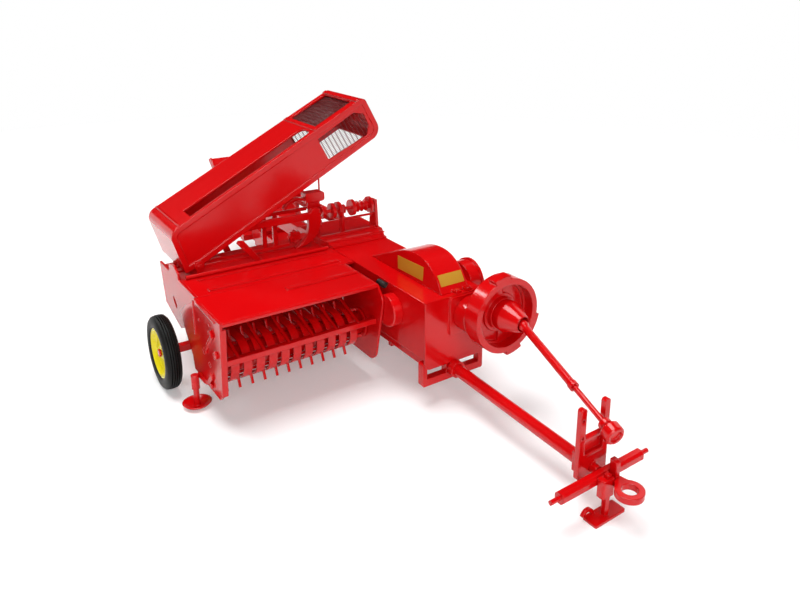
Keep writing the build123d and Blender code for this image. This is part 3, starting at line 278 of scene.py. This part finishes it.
@dataclass(frozen=True)
class Rubber:
    """Black moulded rubber with a dull grain and clouds of paler dust.

    The two scales are in cells to the metre.
    """

    name: str = "tyre_rubber"
    colour: Colour = (0.006, 0.006, 0.006)
    dusty: Colour = (0.016, 0.016, 0.015)
    roughness: float = 0.5
    specular: float = 0.16
    patchiness: float = 0.2
    cloud_scale: float = 120.0
    grain: float = 0.03 * MM
    grain_scale: float = 2600.0

    def build(self) -> bpy.types.Material:
        """Makes the material.

        Returns:
            The rubber as a node material.
        """
        board = new_board(self.name)
        cloud = board.noise(self.cloud_scale, 4.0, 0.6)
        grain = board.noise(self.grain_scale, 2.0)
        tint = board.mix_colour((cloud - 0.35).clipped(), self.colour, self.dusty)
        rough = self.roughness + (cloud - 0.5) * self.patchiness
        bump = board.node(
            "ShaderNodeBump", {}, {"Height": grain, "Strength": 0.4, "Distance": self.grain}
        )
        inputs = {
            "Base Color": tint,
            "Roughness": rough,
            "Normal": bump,
            "Specular IOR Level": self.specular,
        }
        board.surface(board.node("ShaderNodeBsdfPrincipled", {}, inputs))
        return bpy.data.materials[self.name]


@dataclass(frozen=True)
class BrightMetal:
    """Bare or plated metal with a faint stain and a fine grain.

    The two scales are in cells to the metre.
    """

    name: str
    colour: Colour = (0.55, 0.54, 0.52)
    roughness: float = 0.3
    metallic: float = 1.0
    patchiness: float = 0.25
    stain_scale: float = 300.0
    darkest: float = 0.7
    palest: float = 1.1
    grain: float = 0.02 * MM
    grain_scale: float = 3000.0

    def build(self) -> bpy.types.Material:
        """Makes the material.

        Returns:
            The metal as a node material.
        """
        board = new_board(self.name)
        stain = board.noise(self.stain_scale, 4.0, 0.6)
        tint = board.mix_colour(
            stain, shade(self.colour, self.darkest), shade(self.colour, self.palest)
        )
        rough = self.roughness + (stain - 0.5) * self.patchiness
        grain = board.noise(self.grain_scale, 2.0)
        bump = board.node(
            "ShaderNodeBump", {}, {"Height": grain, "Strength": 0.3, "Distance": self.grain}
        )
        inputs = {
            "Base Color": tint,
            "Roughness": rough,
            "Metallic": self.metallic,
            "Normal": bump,
        }
        board.surface(board.node("ShaderNodeBsdfPrincipled", {}, inputs))
        return bpy.data.materials[self.name]


@dataclass(frozen=True)
class Studio:
    """The pale floor, the low backdrop, the soft lamps and the camera.

    Angles are in degrees, lengths in metres and the lens in millimetres.
    """

    camera_at: tuple[float, float, float] = (-0.16673, -0.37042, 0.2164)
    yaw: float = 37.61
    pitch: float = 16.43
    roll: float = 1.07
    lens: float = 32.47
    shift: tuple[float, float] = (-0.08, -0.12)
    floor_reach: float = 6.5
    floor_sides: int = 64
    backdrop: float = 1.2
    floor_colour: float = 0.82
    floor_glow: float = 0.2
    fade_from: float = 0.42
    fade_over: float = 0.5
    world_light: float = 0.26
    room_dark: float = 0.02
    horizon: float = 6.0

    def floor(self) -> None:
        """Lays the floor, which curves up into a low round backdrop."""
        mesh = bpy.data.meshes.new("studio_floor")
        work = bmesh.new()
        rise = self.backdrop
        profile = [(self.floor_reach, 0.0)]
        profile += [
            (
                self.floor_reach + rise * math.sin(math.radians(step)),
                rise * (1 - math.cos(math.radians(step))),
            )
            for step in range(15, 91, 15)
        ]
        angles = [2 * math.pi * k / self.floor_sides for k in range(self.floor_sides)]
        rings = [
            [work.verts.new((reach * math.cos(a), reach * math.sin(a), height)) for a in angles]
            for reach, height in profile
        ]
        work.faces.new(rings[0])
        for low, high in zip(rings, rings[1:]):
            for k in range(self.floor_sides):
                following = (k + 1) % self.floor_sides
                work.faces.new((low[k], low[following], high[following], high[k]))
        bmesh.ops.recalc_face_normals(work, faces=work.faces)
        work.to_mesh(mesh)
        work.free()
        floor = bpy.data.objects.new("studio_floor", mesh)
        bpy.context.scene.collection.objects.link(floor)
        for polygon in mesh.polygons:
            polygon.use_smooth = True
        mesh.materials.append(self.floor_material())

    def floor_material(self) -> bpy.types.Material:
        """Makes the floor's matt white, which fades to plain white away from the model.

        Returns:
            The floor's material.
        """
        board = new_board("studio_white")
        looks = board.light_path(*SEEN_BY)
        seen = sum(looks[1:], looks[0]).clipped()
        away = board.node(
            "ShaderNodeVectorMath", {"operation": "LENGTH"}, {0: board.place()}, "Value"
        )
        far = ((away - self.fade_from) / self.fade_over).clipped()
        matt = board.node("ShaderNodeBsdfDiffuse", {}, {"Color": (*(self.floor_colour,) * 3, 1.0)})
        glow = board.node("ShaderNodeEmission", {}, {"Strength": self.floor_glow})
        lifted = board.node("ShaderNodeAddShader", {}, {0: matt, 1: glow})
        white = board.node("ShaderNodeEmission", {}, {"Strength": 1.0})
        looked_at = board.node("ShaderNodeMixShader", {}, {0: far, 1: lifted, 2: white})
        board.surface(board.node("ShaderNodeMixShader", {}, {0: seen, 1: matt, 2: looked_at}))
        return bpy.data.materials["studio_white"]

    def world(self) -> None:
        """Sets the soft surround: white behind the model, and a dim room above it for gloss."""
        world = bpy.data.worlds.new("studio_world")
        world.use_nodes = True
        board = Board(world.node_tree)
        camera, glossy, through = board.light_path(*SEEN_BY)
        way = board.node("ShaderNodeSeparateXYZ", {}, {0: board.place("Generated")}, "Z")
        level = (1.0 - way * self.horizon).clipped()
        seen = (camera + through + glossy * level).clipped()
        strengths = (self.world_light, self.room_dark, 1.0)
        soft, dark, white = (
            board.node("ShaderNodeBackground", {}, {"Color": (1.0,) * 4, "Strength": strength})
            for strength in strengths
        )
        room = board.node("ShaderNodeMixShader", {}, {0: glossy, 1: soft, 2: dark})
        mixed = board.node("ShaderNodeMixShader", {}, {0: seen, 1: room, 2: white})
        board.node("ShaderNodeOutputWorld", {}, {"Surface": mixed})
        bpy.context.scene.world = world

    def lamps(self) -> None:
        """Hangs the soft lamps from a short table."""
        table = (
            # name, place, aimed at, width, power
            ("overhead", (-0.15, 0.05, 1.50), (0.0, 0.0, 0.0), 0.8, 18.0),
            ("front", (-0.5, -1.5, 0.75), (0.0, -0.05, 0.05), 0.9, 14.5),
            ("side", (1.4, 0.2, 0.9), (0.0, 0.0, 0.03), 1.0, 4.0),
            ("rim", (-0.55, 1.25, 1.0), (0.0, 0.0, 0.06), 0.35, 6.0),
        )
        for name, place, aim, width, power in table:
            lamp = bpy.data.lights.new(name, "AREA")
            lamp.shape = "SQUARE"
            lamp.size = width
            lamp.energy = power
            holder = bpy.data.objects.new(name, lamp)
            holder.location = place
            away = Vector(aim) - Vector(place)
            holder.rotation_euler = away.to_track_quat("-Z", "Y").to_euler()
            bpy.context.scene.collection.objects.link(holder)

    def camera(self) -> None:
        """Stands the camera at the front, on the header's side and above."""
        data = bpy.data.cameras.new("camera")
        data.lens = self.lens
        data.sensor_width = 36.0
        data.shift_x, data.shift_y = self.shift
        data.clip_start = 0.01
        data.clip_end = 50.0
        holder = bpy.data.objects.new("camera", data)
        turn = Matrix.Rotation(-math.radians(self.yaw), 4, "Z")
        tip = Matrix.Rotation(math.radians(90.0 - self.pitch), 4, "X")
        roll = Matrix.Rotation(math.radians(self.roll), 4, "Z")
        holder.matrix_world = Matrix.Translation(self.camera_at) @ turn @ tip @ roll
        bpy.context.scene.collection.objects.link(holder)
        bpy.context.scene.camera = holder

    def build(self) -> None:
        """Sets up the whole studio."""
        self.floor()
        self.world()
        self.lamps()
        self.camera()
        bpy.context.scene.view_settings.view_transform = "Standard"


class Finish(Enum):
    """The finishes that the model wears."""

    RED = Enamel("red_enamel", (0.60, 0.0018, 0.003))
    YELLOW = Enamel("yellow_enamel", (0.80, 0.68, 0.010), roughness=0.2)
    RUBBER = Rubber()
    STEEL = BrightMetal("plated_steel")
    DARK_STEEL = BrightMetal("dark_steel", (0.06, 0.055, 0.05), 0.35, 0.8)
    WIRE = Enamel("painted_wire", (0.16, 0.004, 0.005), roughness=0.4)
    PLATE = Enamel("blank_plate", (0.50, 0.25, 0.015), roughness=0.45, edge=0.05 * MM)

    def material(self) -> bpy.types.Material:
        """The finish's material, built on first use."""
        found = bpy.data.materials.get(self.value.name)
        return found if found else self.value.build()


def new_board(name: str) -> Board:
    """A fresh node material's board, under a plain name."""
    material = bpy.data.materials.new(name)
    material.use_nodes = True
    return Board(material.node_tree)


def paint(piece: bpy.types.Object, finish: Finish) -> None:
    """Gives a piece one finish all over."""
    piece.data.materials.clear()
    piece.data.materials.append(finish.material())


# ---------------------------------------------------------------- mesh helpers


def piece_from(work: bmesh.types.BMesh, name: str, smooth: bool = True) -> bpy.types.Object:
    """Turns a work mesh into a piece at the origin.

    Args:
        work: The mesh being built, which is freed.
        name: The piece's name.
        smooth: Whether its faces are shaded smooth.

    Returns:
        The new object.
    """
    mesh = bpy.data.meshes.new(name)
    work.to_mesh(mesh)
    work.free()
    for polygon in mesh.polygons:
        polygon.use_smooth = smooth
    piece = bpy.data.objects.new(name, mesh)
    bpy.context.scene.collection.objects.link(piece)
    return piece


def baked(carrier: bpy.types.Object, name: str) -> bpy.types.Object:
    """Freezes a carrier's Geometry Nodes result as a plain mesh.

    Args:
        carrier: The object that holds the modifier. It is removed.
        name: The new piece's name.

    Returns:
        The plain piece.
    """
    graph = bpy.context.evaluated_depsgraph_get()
    graph.update()
    mesh = bpy.data.meshes.new_from_object(carrier.evaluated_get(graph))
    mesh.name = name
    bpy.data.objects.remove(carrier)
    piece = bpy.data.objects.new(name, mesh)
    bpy.context.scene.collection.objects.link(piece)
    return piece


class Loom(Board):
    """A Geometry Nodes tree with named inputs that ends in real geometry of one finish."""

    def __init__(self, name: str, **inputs: str) -> None:
        """Opens the tree.

        Args:
            name: The tree's name.
            inputs: Socket type of each named input, besides Geometry and Finish.
        """
        super().__init__(bpy.data.node_groups.new(name, "GeometryNodeTree"))
        face = self.tree.interface
        face.new_socket("Geometry", in_out="OUTPUT", socket_type="NodeSocketGeometry")
        kinds = {"Geometry": "NodeSocketGeometry", **inputs, "Finish": "NodeSocketMaterial"}
        self.identifiers = {
            title: face.new_socket(title, in_out="INPUT", socket_type=kind).identifier
            for title, kind in kinds.items()
        }
        entry = self.tree.nodes.new("NodeGroupInput")
        self.given = {title: Sock(self, entry.outputs[title]) for title in kinds}

    def row(self, axis: str, run: Sock, pitch: Sock, sides: dict[str, Sock]) -> Sock:
        """Sets out a row of equal blocks along an axis, centred on the origin.

        Args:
            axis: The axis that the row runs along.
            run: The row's length.
            pitch: Distance from one block to the next.
            sides: The block's three sides.

        Returns:
            The row's instances.
        """
        line = self.node(
            "GeometryNodeMeshLine",
            {"mode": "OFFSET"},
            {
                "Count": run / pitch + 1.0,
                "Start Location": self.node("ShaderNodeCombineXYZ", {}, {axis: run * -0.5}),
                "Offset": self.node("ShaderNodeCombineXYZ", {}, {axis: pitch}),
            },
        )
        size = self.node("ShaderNodeCombineXYZ", {}, sides)
        block = self.node("GeometryNodeMeshCube", {}, {"Size": size})
        placed = {"Points": line, "Instance": block}
        return self.node("GeometryNodeInstanceOnPoints", {}, placed)

    def ends(self, *shapes: Sock) -> None:
        """Joins the shapes, realizes their instances and sets the finish.

        Args:
            shapes: Geometry outputs to keep.
        """
        join = self.tree.nodes.new("GeometryNodeJoinGeometry")
        for shape in shapes:
            self.tree.links.new(shape.socket, join.inputs[0])
        real = self.node("GeometryNodeRealizeInstances", {}, {0: Sock(self, join.outputs[0])})
        inputs = {"Geometry": real, "Material": self.given["Finish"]}
        dressed = self.node("GeometryNodeSetMaterial", {}, inputs)
        self.node("NodeGroupOutput", {}, {"Geometry": dressed})

    def grow(
        self, name: str, finish: Finish, base: bpy.types.Mesh | None = None, **values: float
    ) -> bpy.types.Object:
        """Runs the tree once and freezes what it makes.

        Args:
            name: The piece's name.
            finish: What it is made of.
            base: A mesh whose points the tree reads, if it needs one.
            values: The named inputs, with _ for a space.

        Returns:
            A plain mesh piece.
        """
        carrier = bpy.data.objects.new(f"{name}_carrier", base or bpy.data.meshes.new(name))
        bpy.context.scene.collection.objects.link(carrier)
        modifier = carrier.modifiers.new(name, "NODES")
        modifier.node_group = self.tree
        modifier[self.identifiers["Finish"]] = finish.material()
        for title, value in values.items():
            modifier[self.identifiers[title.replace("_", " ")]] = value
        piece = baked(carrier, name)
        paint(piece, finish)
        return piece


def joined(pieces: list[bpy.types.Object], name: str) -> bpy.types.Object:
    """Joins plain pieces of one finish into one.

    Args:
        pieces: The pieces, which are removed.
        name: The joined piece's name.

    Returns:
        The joined piece.
    """
    work = bmesh.new()
    for piece in pieces:
        work.from_mesh(piece.data)
    material = pieces[0].data.materials[0]
    for piece in pieces:
        bpy.data.objects.remove(piece)
    whole = piece_from(work, name, smooth=False)
    whole.data.materials.append(material)
    return whole


# ---------------------------------------------------------------- sub-assemblies


@dataclass
class Tyre:
    """A ribbed implement tyre, turned round its axle, with grooves between its ribs.

    The side wall is given in millimetres as (in from the face, out from the bead) below and
    as (in from the face, down from the tread) above.
    """

    side: str
    grooves: int = 4
    groove_width: float = 0.6 * MM
    groove_depth: float = 1.2 * MM
    crown: float = 0.55 * MM
    shoulder: float = 1.3 * MM
    bead: float = 0.5 * MM
    wall_low: tuple[tuple[float, float], ...] = ((0.9, 0.0), (0.25, 0.9), (0.0, 2.6))
    wall_high: tuple[tuple[float, float], ...] = ((0.0, 3.4), (0.35, 1.7))
    groove_sides: tuple[tuple[float, float], ...] = (
        (-0.5, 0.0),
        (-0.35, 1.0),
        (0.35, 1.0),
        (0.5, 0.0),
    )
    turns: int = 144
    low: Vector = field(init=False)
    high: Vector = field(init=False)

    def __post_init__(self) -> None:
        """Reads the solid tyre's box."""
        self.low, self.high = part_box(f"tyre_{self.side}")

    def section(self, inner: float) -> list[tuple[float, float]]:
        """The tyre's profile from one bead over the tread to the other.

        Args:
            inner: Radius of the bead.

        Returns:
            Points as (across, radius) from the tyre's middle.
        """
        half = (self.high.x - self.low.x) / 2
        outer = (self.high.z - self.low.z) / 2
        tread = half - self.shoulder
        wall = [(-half + across * MM, inner + up * MM) for across, up in self.wall_low]
        wall += [(-half + across * MM, outer - down * MM) for across, down in self.wall_high]
        wall.append((-tread, outer - self.crown))
        ribs: list[tuple[float, float]] = []
        pitch = 2 * tread / (self.grooves + 1)
        for k in range(1, self.grooves + 1):
            middle = -tread + k * pitch
            height = outer - self.crown * (middle / tread) ** 2
            for side, depth in self.groove_sides:
                ribs.append((middle + side * self.groove_width, height - depth * self.groove_depth))
        mirrored = [(-across, radius) for across, radius in reversed(wall)]
        return wall + ribs + mirrored

    def build(self) -> bpy.types.Object:
        """Makes the tyre.

        Returns:
            The tyre, in place of the plain solid one.
        """
        rim_low, rim_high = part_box(f"rim_{self.side}")
        inner = (rim_high.z - rim_low.z) / 2 - self.bead
        middle = (self.low + self.high) / 2
        profile = self.section(inner)
        work = bmesh.new()
        rings = []
        for k in range(self.turns):
            turn = 2 * math.pi * k / self.turns
            ring = [
                work.verts.new(
                    (
                        middle.x + across,
                        middle.y + radius * math.cos(turn),
                        middle.z + radius * math.sin(turn),
                    )
                )
                for across, radius in profile
            ]
            rings.append(ring)
        count = len(profile)
        for k, ring in enumerate(rings):
            following = rings[(k + 1) % self.turns]
            for j in range(count):
                after = (j + 1) % count
                work.faces.new((ring[j], ring[after], following[after], following[j]))
        bmesh.ops.recalc_face_normals(work, faces=work.faces)
        piece = piece_from(work, f"tyre_{self.side}_ribbed")
        walls = len(self.wall_low) + len(self.wall_high)
        for k, polygon in enumerate(piece.data.polygons):
            polygon.use_smooth = not walls <= k % count < count - walls
        paint(piece, Finish.RUBBER)
        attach(piece, f"wheel_{self.side}")
        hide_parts(f"tyre_{self.side}")
        return piece


@dataclass
class BodyPaint:
    """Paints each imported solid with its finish."""

    yellow: tuple[str, ...] = ("rim_left", "rim_right")
    rubber: tuple[str, ...] = ("tyre_left", "tyre_right")
    steel: tuple[str, ...] = ("chute_chains",)

    def finish_of(self, node: str) -> Finish:
        """Looks up a node's finish.

        Args:
            node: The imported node's name.

        Returns:
            The finish that the node wears.
        """
        if node in self.yellow:
            return Finish.YELLOW
        if node in self.rubber:
            return Finish.RUBBER
        if node in self.steel:
            return Finish.STEEL
        return Finish.RED

    def build(self, nodes: dict[str, bpy.types.Object]) -> None:
        """Paints all the nodes.

        Args:
            nodes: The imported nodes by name.
        """
        for name, node in nodes.items():
            paint(node, self.finish_of(name))


@dataclass
class HoodScreens:
    """Fine wire screens inside the hood's two face windows and under its roof opening.

    The window is given as (from, to, from, to) in millimetres along the hood and up from its
    underside, and the roof's vent along the hood and back from its front face.
    """

    corner: Vector = field(default_factory=lambda: Vector((-60.0, 22.5, 61.6)) * MM)
    tilt: float = math.radians(28.2)
    height: float = 25.2 * MM
    depth: float = 46.0 * MM
    wall: float = 1.8 * MM
    wire_pitch: float = 0.97 * MM
    wire: float = 0.17 * MM
    bar_pitch: float = 2.75 * MM
    bar: float = 0.42 * MM
    thick: float = 0.3 * MM
    bar_share: float = 0.9
    face_air: float = 0.6 * MM
    roof_air: float = 0.2 * MM
    window: tuple[float, float, float, float] = (104.8, 141.2, 2.0, 21.4)
    vent: tuple[float, float, float, float] = (108.4, 140.2, 3.6, 44.0)

    def tree(self) -> Loom:
        """Builds the screen's tree: a row of fine wires along it and a row of bars across it.

        Returns:
            The tree, ready to grow a screen.
        """
        names = ("Across", "Along", "Wire Pitch", "Wire", "Bar Pitch", "Bar", "Thick")
        loom = Loom("wire_screen", **{name: "NodeSocketFloat" for name in names})
        across, along, wire_pitch, wire, bar_pitch, bar, thick = (loom.given[k] for k in names)
        rows = [
            loom.row("Y", along, wire_pitch, {"X": across, "Y": wire, "Z": thick}),
            loom.row("X", across, bar_pitch, {"X": bar, "Y": along, "Z": thick * self.bar_share}),
        ]
        loom.ends(*rows)
        return loom

    def place(self, u: float, v: float, d: float) -> Vector:
        """A place in the hood: along its length, up from its underside, and in from its front."""
        along = Vector((math.cos(self.tilt), 0.0, math.sin(self.tilt)))
        up = Vector((-math.sin(self.tilt), 0.0, math.cos(self.tilt)))
        return self.corner + along * u + up * v + Vector((0.0, d, 0.0))

    def build(self) -> bpy.types.Object:
        """Grows the three screens and joins them.

        Returns:
            The screens, in place of the coarse solid ones.
        """
        loom = self.tree()
        lean = Matrix.Rotation(-self.tilt, 4, "Y")
        upright = lean @ Matrix.Rotation(math.pi / 2, 4, "X")
        u0, u1, v0, v1 = (value * MM for value in self.window)
        faces = [
            ((u0, u1), (v0, v1), ((u0 + u1) / 2, (v0 + v1) / 2, d), upright)
            for d in (self.wall + self.face_air, self.depth - self.wall - self.face_air)
        ]
        u2, u3, d0, d1 = (value * MM for value in self.vent)
        roof = ((u2 + u3) / 2, self.height - self.wall - self.roof_air, (d0 + d1) / 2)
        faces.append(((u2, u3), (d0, d1), roof, lean))
        screens = []
        for k, (run, reach, middle, turn) in enumerate(faces):
            screen = loom.grow(
                f"screen_{k}",
                Finish.WIRE,
                Across=run[1] - run[0],
                Along=reach[1] - reach[0],
                Wire_Pitch=self.wire_pitch,
                Wire=self.wire,
                Bar_Pitch=self.bar_pitch,
                Bar=self.bar,
                Thick=self.thick,
            )
            screen.data.transform(Matrix.Translation(self.place(*middle)) @ turn)
            screens.append(screen)
        piece = joined(screens, "hood_screens_fine")
        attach(piece, "machine")
        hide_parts("hood_screens")
        return piece


Place = tuple[float, float, float]
Bolt = tuple[Place, Place, float]


@dataclass
class Fasteners:
    """Bolt heads, set out from a table. Their height is a share of their radius."""

    head_height: float = 0.55
    sides: int = 10

    def table(self) -> tuple[Bolt, ...]:
        """Lists the heads.

        Returns:
            Each head's place in millimetres, outward direction and radius in millimetres.
        """
        front, right, left, up = (0, -1, 0), (-1, 0, 0), (1, 0, 0), (0, 0, 1)
        return (
            ((-52.4, 21.0, 64.8), front, 1.5),
            ((-28.8, 21.0, 73.2), front, 0.9),
            ((-26.6, 21.0, 70.0), front, 0.9),
            ((49.0, -85.6, 62.9), up, 1.4),
            ((56.2, -85.6, 62.9), up, 1.4),
            ((-67.2, -20.0, 52.0), right, 0.8),
            ((-67.2, -36.0, 55.5), right, 0.8),
            ((45.0, -191.3, 19.5), front, 1.5),
            ((68.0, 30.0, 62.5), up, 1.2),
            ((66.2, -66.0, 57.0), left, 1.2),
        )

    def tree(self) -> Loom:
        """Builds the tree: one head on each point, turned along the point's own direction.

        Returns:
            The tree.
        """
        loom = Loom("bolt_heads", Sides="NodeSocketInt", Height="NodeSocketFloat")
        head = loom.node(
            "GeometryNodeMeshCylinder",
            {},
            {
                "Vertices": loom.given["Sides"],
                "Radius": 1.0,
                "Depth": loom.given["Height"] * 2.0,
            },
        )
        way = loom.node(
            "GeometryNodeInputNamedAttribute", {"data_type": "FLOAT_VECTOR"}, {"Name": "way"}
        )
        size = loom.node(
            "GeometryNodeInputNamedAttribute", {"data_type": "FLOAT"}, {"Name": "size"}
        )
        turned = loom.node("FunctionNodeAlignRotationToVector", {"axis": "Z"}, {"Vector": way})
        placed = {
            "Points": loom.given["Geometry"],
            "Instance": head,
            "Rotation": turned,
            "Scale": size,
        }
        loom.ends(loom.node("GeometryNodeInstanceOnPoints", {}, placed))
        return loom

    def build(self) -> bpy.types.Object:
        """Sets the heads.

        Returns:
            All the heads as one piece.
        """
        rows = self.table()
        points = bpy.data.meshes.new("bolt_places")
        points.from_pydata([Vector(place) * MM for place, _, _ in rows], [], [])
        points.attributes.new("way", "FLOAT_VECTOR", "POINT")
        points.attributes.new("size", "FLOAT", "POINT")
        for k, (_, way, radius) in enumerate(rows):
            points.attributes["way"].data[k].vector = way
            points.attributes["size"].data[k].value = radius * MM
        piece = self.tree().grow(
            "bolt_heads", Finish.RED, points, Sides=self.sides, Height=self.head_height
        )
        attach(piece, "machine")
        return piece


@dataclass
class BlankPlates:
    """Two bare yellow plates on the crank guard, one on its side and one on its front slope.

    All sizes are in millimetres, and the outlines are in (y, z).
    """

    side_x: float = 40.0
    side_outline: tuple[tuple[float, float], ...] = (
        (-41.2, 71.0),
        (-67.1, 72.0),
        (-66.3, 63.8),
        (-41.3, 63.2),
    )
    front_span: tuple[float, float] = (41.4, 56.8)
    front_slope: tuple[tuple[float, float], ...] = (
        (-81.72, 65.05),
        (-80.66, 66.8),
        (-79.88, 68.05),
        (-79.08, 69.2),
        (-78.1, 70.4),
    )
    proud: float = 0.18
    sunk: float = 0.1

    def build(self) -> bpy.types.Object:
        """Makes both plates as one piece.

        Returns:
            The plates.
        """
        work = bmesh.new()
        outer = [Vector((self.side_x - self.proud, y, z)) * MM for y, z in self.side_outline]
        inner = [Vector((self.side_x + self.sunk, y, z)) * MM for y, z in self.side_outline]
        self.slab(work, outer, inner)
        x0, x1 = self.front_span
        for (y0, z0), (y1, z1) in zip(self.front_slope, self.front_slope[1:]):
            out = Vector((0.0, -(z1 - z0), y1 - y0)).normalized() * self.proud
            places = ((x0, y0, z0), (x1, y0, z0), (x1, y1, z1), (x0, y1, z1))
            corners = [Vector(place) for place in places]
            self.slab(work, [(c + out) * MM for c in corners], [(c - out) * MM for c in corners])
        bmesh.ops.recalc_face_normals(work, faces=work.faces)
        piece = piece_from(work, "blank_plates", smooth=False)
        paint(piece, Finish.PLATE)
        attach(piece, "machine")
        return piece

    def slab(self, work: bmesh.types.BMesh, outer: list[Vector], inner: list[Vector]) -> None:
        """Adds a closed slab between two loops of corners.

        Args:
            work: The mesh being built.
            outer: The outer face's corners.
            inner: The inner face's corners, in the same order.
        """
        top = [work.verts.new(corner) for corner in outer]
        low = [work.verts.new(corner) for corner in inner]
        work.faces.new(top)
        work.faces.new(list(reversed(low)))
        for k in range(len(top)):
            after = (k + 1) % len(top)
            work.faces.new((top[after], top[k], low[k], low[after]))


@dataclass
class LatchSpring:
    """The small dark coil spring that hooks the header to the bale case."""

    start: Vector = field(default_factory=lambda: Vector((25.3, -51.2, 59.4)) * MM)
    length: float = 7.6 * MM
    radius: float = 1.55 * MM
    wire: float = 0.28 * MM
    coils: float = 8.0
    steps: int = 16
    wire_sides: int = 6

    def build(self) -> bpy.types.Object:
        """Winds the spring and lays it along the case.

        Returns:
            The spring.
        """
        size = "NodeSocketFloat"
        loom = Loom("coil_spring", Length=size, Radius=size, Wire=size, Coils=size)
        given = loom.given
        path = loom.node(
            "GeometryNodeCurveSpiral",
            {},
            {
                "Resolution": self.steps,
                "Rotations": given["Coils"],
                "Start Radius": given["Radius"],
                "End Radius": given["Radius"],
                "Height": given["Length"],
            },
        )
        ring = loom.node(
            "GeometryNodeCurvePrimitiveCircle",
            {},
            {"Resolution": self.wire_sides, "Radius": given["Wire"]},
        )
        coil = {"Curve": path, "Profile Curve": ring, "Fill Caps": True}
        loom.ends(loom.node("GeometryNodeCurveToMesh", {}, coil))
        piece = loom.grow(
            "latch_spring",
            Finish.DARK_STEEL,
            Length=self.length,
            Radius=self.radius,
            Wire=self.wire,
            Coils=self.coils,
        )
        lying = Matrix.Rotation(-math.pi / 2, 4, "X")
        piece.data.transform(Matrix.Translation(self.start) @ lying)
        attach(piece, "machine")
        return piece


@dataclass
class ReelDrum:
    """The drum inside the pickup reel's tine bars, which closes the view between the bands.

    All sizes are in millimetres, and the middle is its axle's (y, z).
    """

    middle: tuple[float, float] = (-31.0, 31.0)
    radius: float = 6.7
    inset: float = 1.4
    sides: int = 40

    def build(self) -> bpy.types.Object:
        """Turns the drum between the header's two panels.

        Returns:
            The drum.
        """
        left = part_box("header_end_panel")[0].x - self.inset * MM
        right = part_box("header_lip_bar")[0].x - self.inset * MM
        work = bmesh.new()
        across = Matrix.Rotation(math.pi / 2, 4, "Y")
        centre = Vector(((left + right) / 2, self.middle[0] * MM, self.middle[1] * MM))
        bmesh.ops.create_cone(
            work,
            cap_ends=True,
            segments=self.sides,
            radius1=self.radius * MM,
            radius2=self.radius * MM,
            depth=left - right,
            matrix=Matrix.Translation(centre) @ across,
        )
        piece = piece_from(work, "reel_drum", smooth=False)
        for polygon in piece.data.polygons:
            polygon.use_smooth = len(polygon.vertices) < self.sides
        paint(piece, Finish.RED)
        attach(piece, "pickup_reel")
        return piece


@dataclass
class ReelPan:
    """The thin sheet that hangs from the feed table's front edge, behind the reel.

    All sizes are in millimetres.
    """

    inset: float = 2.4
    back: float = -9.0
    thick: float = 0.8
    low: float = 20.0
    high: float = 41.1

    def build(self) -> bpy.types.Object:
        """Makes the sheet between the header's two panels.

        Returns:
            The sheet.
        """
        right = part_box("header_side_panel")[1].x - self.inset * MM
        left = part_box("header_end_panel")[0].x
        low = Vector((right, (self.back - self.thick) * MM, self.low * MM))
        high = Vector((left, self.back * MM, self.high * MM))
        work = bmesh.new()
        size = Matrix.Diagonal((*(high - low), 1.0))
        bmesh.ops.create_cube(work, size=1.0, matrix=Matrix.Translation((low + high) / 2) @ size)
        piece = piece_from(work, "reel_pan", smooth=False)
        paint(piece, Finish.RED)
        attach(piece, "machine")
        return piece


def main() -> None:
    """Builds every sub-assembly in order."""
    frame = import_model()
    BodyPaint().build(frame["nodes"])
    for side in ("left", "right"):
        tyre = Tyre(side).build()
        log.info("%s: %d faces", tyre.name, len(tyre.data.polygons))
    for group in (HoodScreens(), Fasteners(), BlankPlates(), LatchSpring(), ReelDrum(), ReelPan()):
        piece = group.build()
        log.info("%s: %d faces", piece.name, len(piece.data.polygons))
    Studio().build()


if __name__ == "__main__":
    logging.basicConfig(level=logging.INFO, format="%(message)s")
    main()
